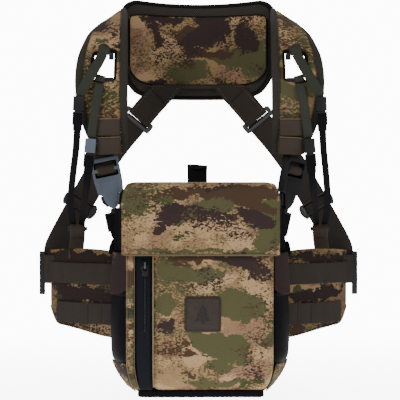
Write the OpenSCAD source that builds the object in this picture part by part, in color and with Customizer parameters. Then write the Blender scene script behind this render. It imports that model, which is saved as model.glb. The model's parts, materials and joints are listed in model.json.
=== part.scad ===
// Binocular harness pack: a lidded chest case on a four-point harness.
// Origin: centre of the case's flat rear face. +X wearer's left side seen from the front, +Y towards the wearer, +Z up.

/* [Case] */
// Half width of the case at its front
case_front = 83; // [78:1:86]
// Half width of the case at its back
case_back = 101; // [94:1:102]
// Depth of the main compartment with its walls
case_depth = 72; // [66:1:74]
// Height of the case's top rim above the origin
case_top = 114; // [110:1:115]
// Depth of the case's floor below the origin
case_bottom = 120; // [112:1:122]
// Thickness of the padded walls
wall = 4; // [3:0.5:4.5]

/* [Lid] */
// Height of the lid's top face
lid_top = 122; // [121:1:124]
// Height of the front flap's hem
lid_hem = 38; // [38:1:60]
// Half width of the lid at its hem
lid_half = 88.5; // [87:0.5:90]

/* [Webbing] */
// Width of the back straps
back_web = 32; // [26:1:34]
// Height of a belt webbing row
row_web = 25.4; // [20:0.2:25.4]
// Width of the narrow accessory straps
thin_web = 9; // [7:0.5:9.5]
// Thickness of webbing
web = 1.6; // [1.2:0.1:1.8]

/* [Large buckle] */
// Tilt of the large buckles from upright, in degrees
buckle_tilt = 12; // [10:1:14]
// Turn of the right buckle about its own length, in degrees
buckle_roll = -48; // [-50:1:-40]

/* [Hidden] */
$fn = 48;
LEFT = -1;
RIGHT = 1;
gap = 0.3;                        // clearance between neighbouring pieces
camo = "#6b6444";
camo_light = "#a98c60";
brown_web = "#3a322c";
grey_web = "#3b3d38";
black = "#1a1a1c";
panel_t = 8;                      // back panel's thickness
shell_back = -panel_t - 0.1;      // rear face of the shell
shell_front = shell_back - case_depth;
wall_angle = atan((case_back - case_front) / case_depth);
wall_mid = [-(case_back + case_front) / 2, shell_back - case_depth / 2, 0];
wall_run = case_depth / cos(wall_angle);
pocket_y = shell_front - gap;     // rear face of what is sewn on the front
front_y = -95;                    // front face of the front pocket
pocket_top = 50;
pocket_low = -116;
tape_y = -90;
tape_x = [-75.6, -56.4];
zip_x = -64;
zip_end = -50;
magnet_y = shell_front + 3;
slider_z = 28;
pull_y = -95.8;
pull_z = 26;
flap_y = front_y - 1;             // inner face of the front flap
flap_t = 3.5;
buckle_tip = [-103, 14, 92];
buckle_a = [-144.5, -19, 208];
buckle_b = [-131, -19.5, 158];
small_tilt_a = 3;
small_tilt_b = 5;
glide_top = [-128, 138, 138];     // ends of the back strap's straight run
glide_end = [-172, 96, 54];
back_face = [-0.25, 0.97, 0];     // direction the back straps face
chest_face = [0, -1, 0];

// Shoulder strap: its inner and outer edge, from the yoke to its lower end
strap_edges = [
    [[-98, 147, 346], [-104, 147, 294]],
    [[-95, 130, 347], [-115, 118, 304]],
    [[-91, 98, 342], [-125, 86, 315]],
    [[-88, 66, 331], [-134, 55, 307]],
    [[-87, 33, 309], [-141, 26, 292]],
    [[-86, 8, 272], [-148, 4, 268]],
    [[-86, -6, 235], [-149, -6, 232]],
    [[-86, -9, 195], [-140, -9, 191]],
    [[-86, -4, 172], [-131, -4, 170]],
    [[-87, 1, 158], [-125, 1, 157]]];
yoke_tab_path = [[-44, 154, 248], [-57, 160, 231], [-72, 171, 214]];
back_path = [[-84, 169, 199], [-98, 160, 182], [-112, 151, 163], glide_top, glide_end,
    [-178.5, 97, 36], [-181.5, 98, 20], [-182.5, 99, 0]];
upper_a_path = [[-116, -4, 277], [-121, -11, 266], [-131, -17, 248], [-140, -19, 233], [-143, -19, 228]];
upper_b_path = [[-119, -13, 241], [-122.5, -17, 222], [-126, -19.5, 200], [-129, -19.5, 178]];
lower_a_path = [[-146, -19, 180], [-148, -10, 160], [-153, 12, 130], [-157, 36, 98], [-155.5, 60, 72]];
lower_b_path = [[-133.5, -19.5, 130], [-136, -9, 114], [-140, 18, 95], [-145, 60, 72]];
wing_path = [[-101, 4.2, 0], [-116, 11, 0], [-132, 22, 0], [-148, 36, 0], [-163, 52, 0], [-175, 69, 0], [-184, 85, 0]];
wing_tops = [40, 42, 43, 43, 42, 41, 40];
wing_lows = [-64, -62, -58.5, -55, -52.5, -49.5, -30];
wing_t = 7;

function unit(v) = v / norm(v);

// Smooth curve through rows of points, n steps a row
function curve(p, n) = concat(
    [for (i = [0 : len(p) - 2]) for (k = [0 : n - 1])
        let (a = p[max(i - 1, 0)], b = p[i], c = p[i + 1], d = p[min(i + 2, len(p) - 1)], t = k / n)
        0.5 * (2 * b + (c - a) * t + (2 * a - 5 * b + 4 * c - d) * t * t + (3 * b - a - 3 * c + d) * t * t * t)],
    [p[len(p) - 1]]);

function run(p, i) = unit(p[min(i + 1, len(p) - 1)] - p[max(i - 1, 0)]);

// Both edges of a band of width w along path p that faces the direction face
function edges(p, w, face) = [for (i = [0 : len(p) - 1])
    let (a = unit(cross(run(p, i), face))) [p[i] - a * w / 2, p[i] + a * w / 2]];

function mids(e) = [for (r = e) (r[0] + r[1]) / 2];

// Closed skin over rings that all have the same number of points
module skin(rings) {
    n = len(rings[0]);
    m = len(rings);
    sides = [for (i = [0 : m - 2]) for (j = [0 : n - 1]) let (k = (j + 1) % n)
        each [[i * n + j, i * n + k, (i + 1) * n + k], [i * n + j, (i + 1) * n + k, (i + 1) * n + j]]];
    first = [for (j = [1 : n - 2]) [0, j + 1, j]];
    last = [for (j = [1 : n - 2]) [(m - 1) * n, (m - 1) * n + j, (m - 1) * n + j + 1]];
    polyhedron([for (r = rings) each r], concat(sides, first, last));
}

// Flat band between the offsets low and high from the surface that its edges span
module band(e, low, high) {
    c = mids(e);
    rings = [for (i = [0 : len(e) - 1])
        let (n = unit(cross(e[i][1] - e[i][0], run(c, i))))
        [e[i][0] + n * low, e[i][1] + n * low, e[i][1] + n * high, e[i][0] + n * high]];
    skin(rings);
}

module webbing(p, w, face, low = -web / 2, high = web / 2) {
    band(edges(p, w, face), low, high);
}

module side(s) {
    if (s == LEFT) children();
    else mirror([1, 0, 0]) children();
}

module both() {
    side(LEFT) children();
    side(RIGHT) children();
}

// Box from its lowest to its highest corner
module block(low, high) {
    translate(low) cube(high - low);
}

// Outline in the X-Z plane, made thick from y back towards the viewer
module upright(y, t) {
    translate([0, y, 0]) rotate([90, 0, 0]) linear_extrude(t) children();
}

module rounded(low, high, r) {
    hull() for (x = [low.x + r, high.x - r]) for (y = [low.y + r, high.y - r]) translate([x, y]) circle(r, $fn = 32);
}

// Frame on a side wall: -X away from the case, +Y backwards along the wall
module on_side(s) {
    side(s) translate(wall_mid) rotate([0, 0, wall_angle]) children();
}

// Frame of a large buckle: +Z up along the strap from the socket's tip, -Y its face
module at_buckle(s) {
    side(s) translate(buckle_tip) rotate([0, -buckle_tilt, 0]) rotate([0, 0, s == LEFT ? 0 : buckle_roll]) children();
}

module at_small(s, place, tilt) {
    side(s) translate(place) rotate([0, tilt, 0]) children();
}

module plan(inset) {
    front = case_front - inset;
    back = case_back - inset;
    y0 = shell_front + inset;
    y1 = shell_back - inset;
    polygon([[-front, y0], [front, y0], [back, y1], [-back, y1]]);
}

module top_plan(inset) {
    front = case_front - 1 - inset;
    back = case_front + 3 - inset;
    polygon([[-front, shell_front + inset], [front, shell_front + inset],
        [back, shell_back - inset], [-back, shell_back - inset]]);
}

module main_shell() {
    color(camo) difference() {
        hull() {
            translate([0, 0, -case_bottom]) linear_extrude(case_bottom + 92) plan(0);
            translate([0, 0, case_top - 1]) linear_extrude(1) top_plan(0);
        }
        hull() {
            translate([0, 0, -case_bottom + wall]) linear_extrude(case_bottom - wall + 92) plan(wall);
            translate([0, 0, case_top]) linear_extrude(1) top_plan(wall);
        }
        both() magnet(-40, magnet_y);
    }
}

module back_panel() {
    color(black) upright(0, panel_t) polygon([[-97, -116], [-90, -120], [90, -120], [97, -116],
        [97, 90], [88, 117], [-88, 117], [-97, 90]]);
}

module floor_board() {
    color("#2a2a2a") block([-74, shell_front + 5, -case_bottom + wall + gap], [74, shell_back - 5, -case_bottom + wall + 3]);
}

module front_pocket() {
    color(camo_light) upright(pocket_y, pocket_y - front_y) rounded([-56, pocket_low], [83, pocket_top], 5);
}

module pocket_edge() {
    color(camo) upright(pocket_y, 12) polygon([[-83, pocket_low + 4], [-79, pocket_low], [tape_x[0] - gap, pocket_low],
        [tape_x[0] - gap, pocket_top], [-83, pocket_top]]);
}

module zip_tape() {
    color(black) block([tape_x[0], tape_y, pocket_low], [tape_x[1], pocket_y, pocket_top]);
}

module zip_teeth() {
    color("#303033") for (z = [zip_end : 2 : pocket_top - 2])
        block([zip_x - 2, tape_y - 1.2, z], [zip_x + 2, tape_y, z + 1.2]);
}

module pocket_piping() {
    color("#b0a184") block([-55, front_y - 1.2, pocket_low + 6], [-53.4, front_y, lid_hem - 2]);
    color(black) upright(tape_y, 1.4) difference() {
        translate([tape_x[1] - 1, zip_end - 9]) circle(8);
        translate([tape_x[1] - 1, zip_end - 9]) circle(6.4);
        translate([tape_x[1], zip_end - 20]) square([20, 30]);
    }
}

module badge_patch() {
    color("#3b2a22") upright(front_y - 0.05, 1.4) rounded([-19, -49], [23, -8], 2);
}

module base_band() {
    color(black) block([-72, shell_front - 10, -125], [72, shell_back - 6, -case_bottom - 0.05]);
}

module corner_guards() {
    color(camo) for (s = [LEFT, RIGHT]) on_side(s) {
        block([-3, -wall_run / 2 + 1, -119], [-gap, wall_run / 2 - 3, -88]);
    }
}

module side_pocket(s) {
    bulge = 10.5;
    half = 34;
    r = (half * half + bulge * bulge) / (2 * bulge);
    color(black) on_side(s) intersection() {
        block([-20, -half, -86], [-gap, half, -9]);
        difference() {
            translate([r - bulge - gap, 0, -90]) cylinder(r = r, h = 100, $fn = 96);
            translate([r - bulge - gap, 0, -84]) cylinder(r = r - 2, h = 100, $fn = 96);
        }
    }
}

module side_ears() {
    color(camo) for (s = [LEFT, RIGHT]) on_side(s) block([-1.3, -wall_run / 2 + 2, -8], [-gap, wall_run / 2 - 2, 39]);
}

module side_gussets() {
    color(black) for (s = [LEFT, RIGHT]) on_side(s) block([-1.3, -wall_run / 2 + 4, 40], [-gap, wall_run / 2 - 1, 90]);
}

module grab_loop() {
    color(black) block([-15.5, -3, 117.1], [9.5, -1.8, 143]);
    color(black) block([-15.5, -1.2, 117.1], [9.5, 0, 143]);
    color(black) block([-15.5, -3, 143], [9.5, 0, 144.2]);
}

module magnet(x, y) {
    translate([x, y, 62]) rotate([90, 0, 0]) cylinder(r = 7, h = 1.2);
}

module pocket_magnets() {
    color("silver") both() magnet(-40, magnet_y);
}

module lid_magnets() {
    color("silver") both() magnet(-40, flap_y - 1);
}

module lid_panel() {
    inner = case_front + 1.2;
    color(camo) difference() {
        union() {
            block([-lid_half + 2.5, flap_y - flap_t, lid_top - 4], [lid_half - 2.5, -3.5, lid_top]);
            upright(flap_y, flap_t) polygon([[-lid_half + 2.5, lid_top], [-lid_half, lid_hem], [lid_half, lid_hem],
                [lid_half - 2.5, lid_top]]);
            both() upright(shell_front, flap_t + shell_front - flap_y) polygon([[-lid_half + 2.5, lid_top],
                [-lid_half + 0.2, lid_hem + 4], [-inner, lid_hem + 4], [-inner, lid_top]]);
        }
        both() magnet(-40, flap_y - 1);
    }
}

module zip_slider() {
    color("silver") difference() {
        union() {
            block([zip_x - 5, tape_y - 4.2, slider_z - 6], [zip_x + 5, tape_y - 2, slider_z + 6]);
            block([zip_x - 5, tape_y - 4.2, slider_z - 6], [zip_x - 3, tape_y - 0.4, slider_z + 6]);
            block([zip_x + 3, tape_y - 4.2, slider_z - 6], [zip_x + 5, tape_y - 0.4, slider_z + 6]);
            block([zip_x - 1, tape_y - 7.6, slider_z - 4.2], [zip_x + 1, tape_y - 4.2, slider_z + 3]);
        }
        translate([zip_x - 4, pull_y, pull_z]) rotate([0, 90, 0]) cylinder(r = 1, h = 8);
    }
}

module zip_pull() {
    color(black) {
        translate([zip_x - 3.4, pull_y, pull_z]) rotate([0, 90, 0]) cylinder(r = 0.7, h = 6.8);
        for (x = [-3.4, 2.2]) block([zip_x + x, pull_y - 0.7, pull_z - 5], [zip_x + x + 1.2, pull_y + 0.7, pull_z + 0.6]);
        block([zip_x - 3.4, pull_y - 0.8, pull_z - 11], [zip_x + 3.4, pull_y + 0.8, pull_z - 5]);
    }
}

// Large buckle: the plug is held by its webbing loop and slides down out of the socket
module shield() {
    edge = [[17, 62], [17, 34], [15.5, 21], [14.5, 18.4], [10.5, 17.4]];
    polygon(concat([for (p = edge) [-p[0], p[1]]], [for (i = [4:-1:0]) edge[i]]));
}

module buckle_socket(s) {
    color("#5b636e") at_buckle(s) difference() {
        upright(5, 10) shield();
        block([-14, -6, 39], [14, 6, 45.5]);
        block([-14, -6, 49.5], [14, 6, 57.5]);
        block([-20, -3.2, 17], [20, 3.2, 18]);
        block([-11, -3.2, 17], [11, 3.2, 33]);
    }
}

// The socket's front and rear plates run on below its shoulders, past the release arms
module buckle_noses() {
    for (s = [LEFT, RIGHT])
        color("#5b636e") at_buckle(s) for (y = [-3.2, 5])
            upright(y, 1.8) polygon([[-10.5, 17.4], [-9.6, 12], [-5, 2], [0, -1], [5, 2], [9.6, 12], [10.5, 17.4]]);
}

module buckle_plug(s) {
    color(black) at_buckle(s) difference() {
        union() {
            block([-2.2, -2.5, -6], [2.2, 2.5, 31]);
            block([-5, -2.5, -8], [5, 2.5, 0]);
            block([-13, -2.5, -27], [13, 2.5, -4]);
        }
        block([-10.4, -4, -22.5], [10.4, 4, -7]);
    }
}

module release_arm(s, turn) {
    color(black) at_buckle(s) rotate([0, 0, turn]) upright(2.6, 5.2)
        polygon([[4.6, 3], [8, 3], [12.5, 9], [13.5, 15], [13, 17], [4.6, 17]]);
}

module anchor_strap(s) {
    color(black) at_buckle(s) {
        block([-9.8, -4.8, -42], [9.8, -3.2, -20]);
        block([-9.8, 3.2, -42], [9.8, 4.8, -20]);
        block([-9.8, -4.8, -20], [9.8, 4.8, -18.6]);
        block([-9.8, -4.8, -46], [9.8, 4.8, -42]);
    }
    color(black) side(s) hull() {
        block([-110, 3, 44], [-98.5, 5, 50]);
        at_buckle(LEFT) rotate([0, 0, s == LEFT ? 0 : buckle_roll]) block([-9.8, -4.8, -47.6], [9.8, 4.8, -46]);
    }
    color(black) side(s) hull() {
        block([-110, 3, 44], [-98.5, 5, 50]);
        block([-110, -4, 44], [-97, -2.5, 50]);
    }
}

module small_socket() {
    difference() {
        block([-6.5, -3.6, 0], [6.5, 3.6, 17]);
        block([-5, -2.2, -1], [5, 2.2, 13]);
    }
}

module small_plug() {
    color(black) difference() {
        union() {
            block([-4.5, -1.8, -4], [4.5, 1.8, 11]);
            block([-6.5, -1.8, -17], [6.5, 1.8, -1.2]);
        }
        block([-5, -3, -14.5], [5, 3, -3]);
        block([-2.6, -3, 1], [2.6, 3, 13]);
    }
}

module small_loop() {
    block([-4.5, -3.4, -27], [4.5, -2.3, -13.2]);
    block([-4.5, 2.3, -27], [4.5, 3.4, -13.2]);
    block([-4.5, -3.4, -13.2], [4.5, 3.4, -12.2]);
    block([-4.5, -3.4, -29], [4.5, 3.4, -27]);
}

module small_sockets() {
    color("#4a515b") for (s = [LEFT, RIGHT]) {
        at_small(s, buckle_a, small_tilt_a) small_socket();
        at_small(s, buckle_b, small_tilt_b) small_socket();
    }
}

module lower_straps(s) {
    color(grey_web) {
        at_small(s, buckle_a, small_tilt_a) small_loop();
        at_small(s, buckle_b, small_tilt_b) small_loop();
        side(s) webbing(curve(lower_a_path, 4), thin_web, chest_face);
        side(s) webbing(curve(lower_b_path, 4), thin_web, chest_face);
    }
}

module accessory_straps() {
    color(grey_web) both() {
        webbing(curve(upper_a_path, 4), thin_web + 2, chest_face);
        webbing(curve(upper_b_path, 4), thin_web + 2, chest_face);
    }
}

module strap_hooks() {
    color(black) both() {
        block([-126, -6, 243.6], [-103, -2.5, 247]);
        block([-109, -4, 270], [-103, 2, 278]);
    }
}

module keeper_bars() {
    color(black) both() block([-162, 58, 64], [-138, 64, 69]);
}

module shoulder_strap(s) {
    color(camo) side(s) difference() {
        band(curve(strap_edges, 3), -4.5, 4.5);
        block([-128, -40, 243], [-100, 60, 279]);
    }
}

module strap_loops() {
    color(brown_web) both() {
        webbing([[-109, -15, 199], [-109, -15, 178]], 28, chest_face);
        webbing([[-108.5, -14.6, 177], [-107.5, -10.6, 156]], 28, chest_face);
    }
}

module strap_tongues() {
    color(brown_web) for (s = [LEFT, RIGHT]) {
        at_buckle(s) block([-11.9, 5.5, 44], [11.9, 6.9, 67.5]);
        hull() {
            at_buckle(s) block([-12, 5.4, 67], [12, 7, 68]);
            side(s) block([-120, 3, 167], [-96, 4, 169]);
        }
    }
}

// Outline of the yoke seen from the front
module yoke_outline(inset) {
    difference() {
        polygon([[-91 + inset, 357 - inset], [-91 + inset, 262], [-84 + inset, 244], [-62, 234 + inset], [62, 234 + inset],
            [84 - inset, 244], [91 - inset, 262], [91 - inset, 357 - inset]]);
        translate([0, 357 - inset + 640]) circle(646, $fn = 200);
    }
}

// Shell of the yoke between two radii about the wearer's neck line
module yoke_shell(r_in, r_out, inset) {
    yoke_r = 133;
    intersection() {
        translate([0, 185 - yoke_r, 200]) difference() {
            cylinder(r = yoke_r + r_out, h = 170, $fn = 128);
            translate([0, 0, -1]) cylinder(r = yoke_r + r_in, h = 172, $fn = 128);
        }
        upright(240, 200) yoke_outline(inset);
    }
}

module yoke_pad() {
    color(black) yoke_shell(-5, 6, 0);
}

module yoke_face() {
    color(camo) yoke_shell(-6.4, -5.1, 8);
}

module yoke_tabs() {
    color(brown_web) both() webbing(yoke_tab_path, back_web, back_face);
}

// Frame at the middle of a straight run: +Z up along it, +Y the way its face looks
module on_run(top, end) {
    up = unit(top - end);
    across = unit(cross(back_face, up));
    face = cross(up, across);
    translate((top + end) / 2) rotate([atan2(face.z, up.z), asin(-across.z), atan2(across.y, across.x)]) children();
}

// Ring between a yoke tab and a back strap
module yoke_rings() {
    color("#6d7076") both() on_run(yoke_tab_path[2], back_path[0]) difference() {
        block([-20, -3, -6.5], [20, 3, 6.5]);
        block([-16.5, -5, -3], [16.5, 5, 3]);
    }
}

module back_strap(s) {
    color(brown_web) side(s) webbing(back_path, back_web, back_face);
}

// Tri-glide: end bars on one face of the strap, centre bar on the other
module back_glide(s) {
    reach = 9;
    rail = back_web / 2 + 1;
    color(black) side(s) on_run(glide_top, glide_end) {
        for (z = [-reach, reach - 3]) block([-rail, -4, z], [rail, -1.4, z + 3]);
        block([-rail, 1.4, -2], [rail, 4, 2]);
        for (x = [-rail - 3, rail]) block([x, -4, -reach], [x + 3, 4, reach]);
    }
}

module belt_wing(s) {
    n = len(wing_path);
    smooth = curve([for (i = [0 : n - 1]) [[wing_path[i].x, wing_path[i].y, wing_tops[i]],
        [wing_path[i].x, wing_path[i].y, wing_lows[i]]]], 2);
    color(camo) side(s) band(smooth, -wing_t / 2, wing_t / 2);
}

module wing_webbing() {
    rows = [[13, 6], [-35, 5]];
    color(brown_web) both() for (r = rows) {
        path = curve([for (i = [0 : r[1]]) wing_path[i] + [0, 0, r[0]]], 2);
        flat = [for (p = path) [p + [0, 0, row_web / 2], p - [0, 0, row_web / 2]]];
        band(flat, -wing_t / 2 - 1.9, -wing_t / 2 - 0.3);
    }
}

module wing_glides() {
    color(black) both() block([-199, 86, -16], [-192, 90.5, 38]);
}

back_panel();
main_shell();
floor_board();
front_pocket();
pocket_edge();
zip_tape();
zip_teeth();
pocket_piping();
badge_patch();
base_band();
corner_guards();
side_pocket(LEFT);  // side_pocket_left
side_pocket(RIGHT);  // side_pocket_right
side_ears();
side_gussets();
grab_loop();
pocket_magnets();
anchor_strap(LEFT);  // anchor_strap_left
anchor_strap(RIGHT);  // anchor_strap_right
belt_wing(LEFT);  // belt_wing_left
belt_wing(RIGHT);  // belt_wing_right
wing_webbing();
wing_glides();
yoke_pad();
yoke_face();
yoke_tabs();
yoke_rings();
shoulder_strap(LEFT);  // shoulder_strap_left
shoulder_strap(RIGHT);  // shoulder_strap_right
strap_loops();
strap_tongues();
back_strap(LEFT);  // back_strap_left
back_strap(RIGHT);  // back_strap_right
accessory_straps();
strap_hooks();
lower_straps(LEFT);  // lower_straps_left
lower_straps(RIGHT);  // lower_straps_right
keeper_bars();
buckle_socket(LEFT);  // buckle_socket_left
buckle_socket(RIGHT);  // buckle_socket_right
buckle_noses();
small_sockets();
lid_panel();
lid_magnets();
zip_slider();
zip_pull();
buckle_plug(LEFT);  // buckle_plug_left
buckle_plug(RIGHT);  // buckle_plug_right
release_arm(LEFT, 0);  // release_arm_left_inner
release_arm(LEFT, 180);  // release_arm_left_outer
release_arm(RIGHT, 0);  // release_arm_right_inner
release_arm(RIGHT, 180);  // release_arm_right_outer
at_small(LEFT, buckle_a, small_tilt_a) small_plug();  // small_plug_left_a
at_small(LEFT, buckle_b, small_tilt_b) small_plug();  // small_plug_left_b
at_small(RIGHT, buckle_a, small_tilt_a) small_plug();  // small_plug_right_a
at_small(RIGHT, buckle_b, small_tilt_b) small_plug();  // small_plug_right_b
back_glide(LEFT);  // back_glide_left
back_glide(RIGHT);  // back_glide_right
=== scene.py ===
import json
import math

import bmesh
import bpy
import numpy as np
from mathutils import Matrix, Vector, noise

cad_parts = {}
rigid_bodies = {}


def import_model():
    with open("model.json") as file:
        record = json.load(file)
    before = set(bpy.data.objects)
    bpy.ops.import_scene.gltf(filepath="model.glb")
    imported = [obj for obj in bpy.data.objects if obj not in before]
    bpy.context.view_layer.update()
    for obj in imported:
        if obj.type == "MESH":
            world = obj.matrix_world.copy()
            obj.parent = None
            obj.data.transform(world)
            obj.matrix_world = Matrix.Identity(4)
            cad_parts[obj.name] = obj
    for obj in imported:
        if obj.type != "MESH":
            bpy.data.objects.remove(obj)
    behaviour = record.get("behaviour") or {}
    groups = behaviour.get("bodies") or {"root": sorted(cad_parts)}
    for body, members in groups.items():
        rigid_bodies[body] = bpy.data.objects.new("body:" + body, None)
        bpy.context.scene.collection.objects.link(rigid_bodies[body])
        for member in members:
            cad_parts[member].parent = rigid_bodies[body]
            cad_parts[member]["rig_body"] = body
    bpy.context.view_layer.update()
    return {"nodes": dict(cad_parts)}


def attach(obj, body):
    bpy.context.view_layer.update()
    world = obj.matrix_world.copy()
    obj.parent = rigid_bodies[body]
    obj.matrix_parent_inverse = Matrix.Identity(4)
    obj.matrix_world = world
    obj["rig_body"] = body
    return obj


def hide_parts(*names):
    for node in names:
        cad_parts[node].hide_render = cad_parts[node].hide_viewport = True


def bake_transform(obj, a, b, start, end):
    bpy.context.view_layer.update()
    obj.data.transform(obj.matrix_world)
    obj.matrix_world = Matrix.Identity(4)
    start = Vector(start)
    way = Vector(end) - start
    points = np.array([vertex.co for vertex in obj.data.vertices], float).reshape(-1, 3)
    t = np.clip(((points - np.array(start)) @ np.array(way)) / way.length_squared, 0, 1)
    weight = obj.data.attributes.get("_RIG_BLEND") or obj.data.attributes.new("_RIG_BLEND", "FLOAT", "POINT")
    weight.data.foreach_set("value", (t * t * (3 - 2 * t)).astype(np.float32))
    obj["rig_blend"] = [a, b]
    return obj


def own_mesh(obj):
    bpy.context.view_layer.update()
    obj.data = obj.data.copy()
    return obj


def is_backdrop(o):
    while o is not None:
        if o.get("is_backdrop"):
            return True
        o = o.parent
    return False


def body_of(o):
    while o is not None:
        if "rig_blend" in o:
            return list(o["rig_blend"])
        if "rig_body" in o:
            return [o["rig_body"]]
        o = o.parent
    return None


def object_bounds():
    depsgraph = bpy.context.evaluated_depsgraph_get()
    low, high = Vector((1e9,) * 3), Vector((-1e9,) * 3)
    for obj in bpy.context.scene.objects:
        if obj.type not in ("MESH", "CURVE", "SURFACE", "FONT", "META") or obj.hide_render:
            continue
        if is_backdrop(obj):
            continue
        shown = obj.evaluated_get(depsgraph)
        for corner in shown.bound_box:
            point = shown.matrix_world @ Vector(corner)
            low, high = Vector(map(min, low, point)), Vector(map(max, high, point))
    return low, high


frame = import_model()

MM = 0.001
NODES = frame["nodes"]

# ---------------------------------------------------------------- sizes, in mm, as in the CAD model
CASE_FRONT, CASE_BACK = 83, 101
SHELL_BACK, SHELL_FRONT = -8.1, -80.1
POCKET_LEFT, POCKET_TOP, POCKET_LOW = -56, 50, -116
STRIP_LEFT, STRIP_RIGHT = -86, -75.6
ZIP_X, TAPE_Y = -64, -90
BADGE_X, BADGE_Z, BADGE_HALF_X, BADGE_HALF_Z = 2, -28.5, 21, 20.5
POCKET_Y, STRIP_Y, BADGE_Y, BACK_Y, BASE_Y, BASE_HALF = -87.6, -86.5, -97, -4, -88.6, 72.5
WALL_ANGLE = math.atan((CASE_BACK - CASE_FRONT) / (SHELL_BACK - SHELL_FRONT))
WALL_MID = (-(CASE_BACK + CASE_FRONT) / 2, (SHELL_BACK + SHELL_FRONT) / 2, 0)
BACK_WEB, THIN_WEB, TAB_WEB, LOOP_WEB = 32, 9, 33, 28
BUCKLE_TIP, BUCKLE_TILT, BUCKLE_ROLL = (-103, 14, 92), 12, -48
BUCKLE_A, BUCKLE_B, TILT_A, TILT_B = (-144.5, -19, 208), (-131, -19.5, 158), 3, 5
BACK_FACE, FORWARD = (-0.25, 0.97, 0), (0, -1, 0)
GLIDE_TOP, GLIDE_END = (-128, 138, 138), (-172, 96, 54)
STRAP_EDGES = [
    [(-98, 147, 346), (-104, 147, 294)],
    [(-95, 130, 347), (-115, 118, 304)],
    [(-91, 98, 342), (-125, 86, 315)],
    [(-88, 66, 331), (-134, 55, 307)],
    [(-87, 33, 309), (-141, 26, 292)],
    [(-86, 8, 272), (-148, 4, 268)],
    [(-86, -6, 235), (-149, -6, 232)],
    [(-86, -9, 195), (-140, -9, 191)],
    [(-86, -4, 172), (-131, -4, 170)],
    [(-87, 1, 158), (-125, 1, 157)]]
RING_MIDDLE = (-78, 170, 206.5)
YOKE_TAB_END = (-72, 171, 214)
BACK_PATH = [(-84, 169, 199), (-98, 160, 182), (-112, 151, 163), GLIDE_TOP, GLIDE_END,
             (-178.5, 97, 36), (-181.5, 98, 20), (-182.5, 99, 0)]
UPPER_A_PATH = [(-116, -4, 277), (-121, -11, 266), (-131, -17, 248), (-140, -19, 233), (-143, -19, 226)]
UPPER_B_PATH = [(-119, -13, 241), (-122.5, -17, 222), (-126, -19.5, 200), (-129, -19.5, 176)]
LOWER_A_PATH = [(-145, -19, 198), (-146, -19, 180), (-148, -10, 160), (-153, 12, 130), (-157, 36, 98),
                (-155.5, 60, 72), (-155.3, 61, 66)]
LOWER_B_PATH = [(-132, -19.5, 148), (-133.5, -19.5, 130), (-136, -9, 114), (-140, 18, 95), (-144.5, 60, 72),
                (-144.7, 61, 66)]
WING_PATH = [(-94, -3), (-102, 4.2), (-116, 11), (-132, 22), (-148, 36), (-163, 52), (-175, 69), (-184, 85)]
WING_TOPS = [40, 40, 42, 43, 43, 42, 41, 40]
WING_LOWS = [-64, -64, -62, -58.5, -55, -52.5, -49.5, -30]
WING_END_PATH = [(-179, 70.5), (-184.5, 78), (-190, 83.5), (-195.5, 89), (-198.3, 94.5), (-197.3, 99),
                 (-192, 101), (-182, 101.2), (-170, 100.6)]
YOKE_R, YOKE_AXIS_Y = 133, 52
FACE_R = YOKE_R - 6.2
YOKE_HALF, FACE_HALF, CORNER = 97, 88.5, 19
SLOT_Z = (243, 279)

# ---------------------------------------------------------------- shapes of curves


def unit(v):
    """Vectors made one long."""
    return v / np.linalg.norm(v, axis=-1, keepdims=True)


def lengths(path):
    """Distance along a path at each of its points."""
    return np.concatenate([[0], np.cumsum(np.linalg.norm(np.diff(path, axis=0), axis=1))])


def sample(at, reach, values):
    """Rows of values at these distances, where reach is the distance of each row."""
    return np.stack([np.interp(at, reach, values[:, c]) for c in range(3)], -1)


def curve(rows, n):
    """Smooth curve through rows of points, n steps a row."""
    p = np.array(rows, float)
    out = []
    for i in range(len(p) - 1):
        a, b, c, d = p[max(i - 1, 0)], p[i], p[i + 1], p[min(i + 2, len(p) - 1)]
        for t in np.arange(n) / n:
            out.append(0.5 * (2 * b + (c - a) * t + (2 * a - 5 * b + 4 * c - d) * t * t
                              + (3 * b - a - 3 * c + d) * t ** 3))
    return np.array(out + [p[-1]])


def edges(path, width, face):
    """Both edges of a band along a path that faces one direction."""
    p = np.array(path, float)
    run = unit(np.array([p[min(i + 1, len(p) - 1)] - p[max(i - 1, 0)] for i in range(len(p))]))
    across = unit(np.cross(run, np.array(face, float)))
    return np.stack([p + across * width / 2, p - across * width / 2], 1)


def folded(path, width, across):
    """Both edges of a band that turns back on itself, so its width keeps one direction."""
    half = np.array(across, float) * width / 2
    return np.stack([np.array(path) + half, np.array(path) - half], 1)


def rounded_ring(corners, radius):
    """Outline with its corners cut to short curves."""
    p = np.array(corners, float)
    out = []
    for k in range(len(p)):
        a, b, c = p[k - 1], p[k], p[(k + 1) % len(p)]
        r = min(radius, np.linalg.norm(a - b) * 0.45, np.linalg.norm(c - b) * 0.45)
        start, end = b + unit(a - b) * r, b + unit(c - b) * r
        out += [(1 - t) ** 2 * start + 2 * t * (1 - t) * b + t * t * end for t in (0, 0.33, 0.67, 1)]
    return out


def turning(path, widths, first, last, share):
    """Both edges of a band whose face turns from one direction to another, by a share at each point."""
    fan = np.array(share)[:, None]
    faces = unit(np.array([first]) * (1 - fan) + np.array([last]) * fan)
    return np.stack([edges(path, w, f)[k] for k, (w, f) in enumerate(zip(widths, faces))])


def spread(pair, columns):
    """Grid between two edges, with the columns at these shares of the way across."""
    c = np.array(columns, float)[None, :, None]
    return pair[:, :1] * (1 - c) + pair[:, 1:] * c


def normals(grid):
    """Direction off the surface at each point of a grid."""
    along = np.gradient(grid, axis=0)
    across = np.gradient(grid, axis=1)
    return unit(np.cross(along, across))


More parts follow.
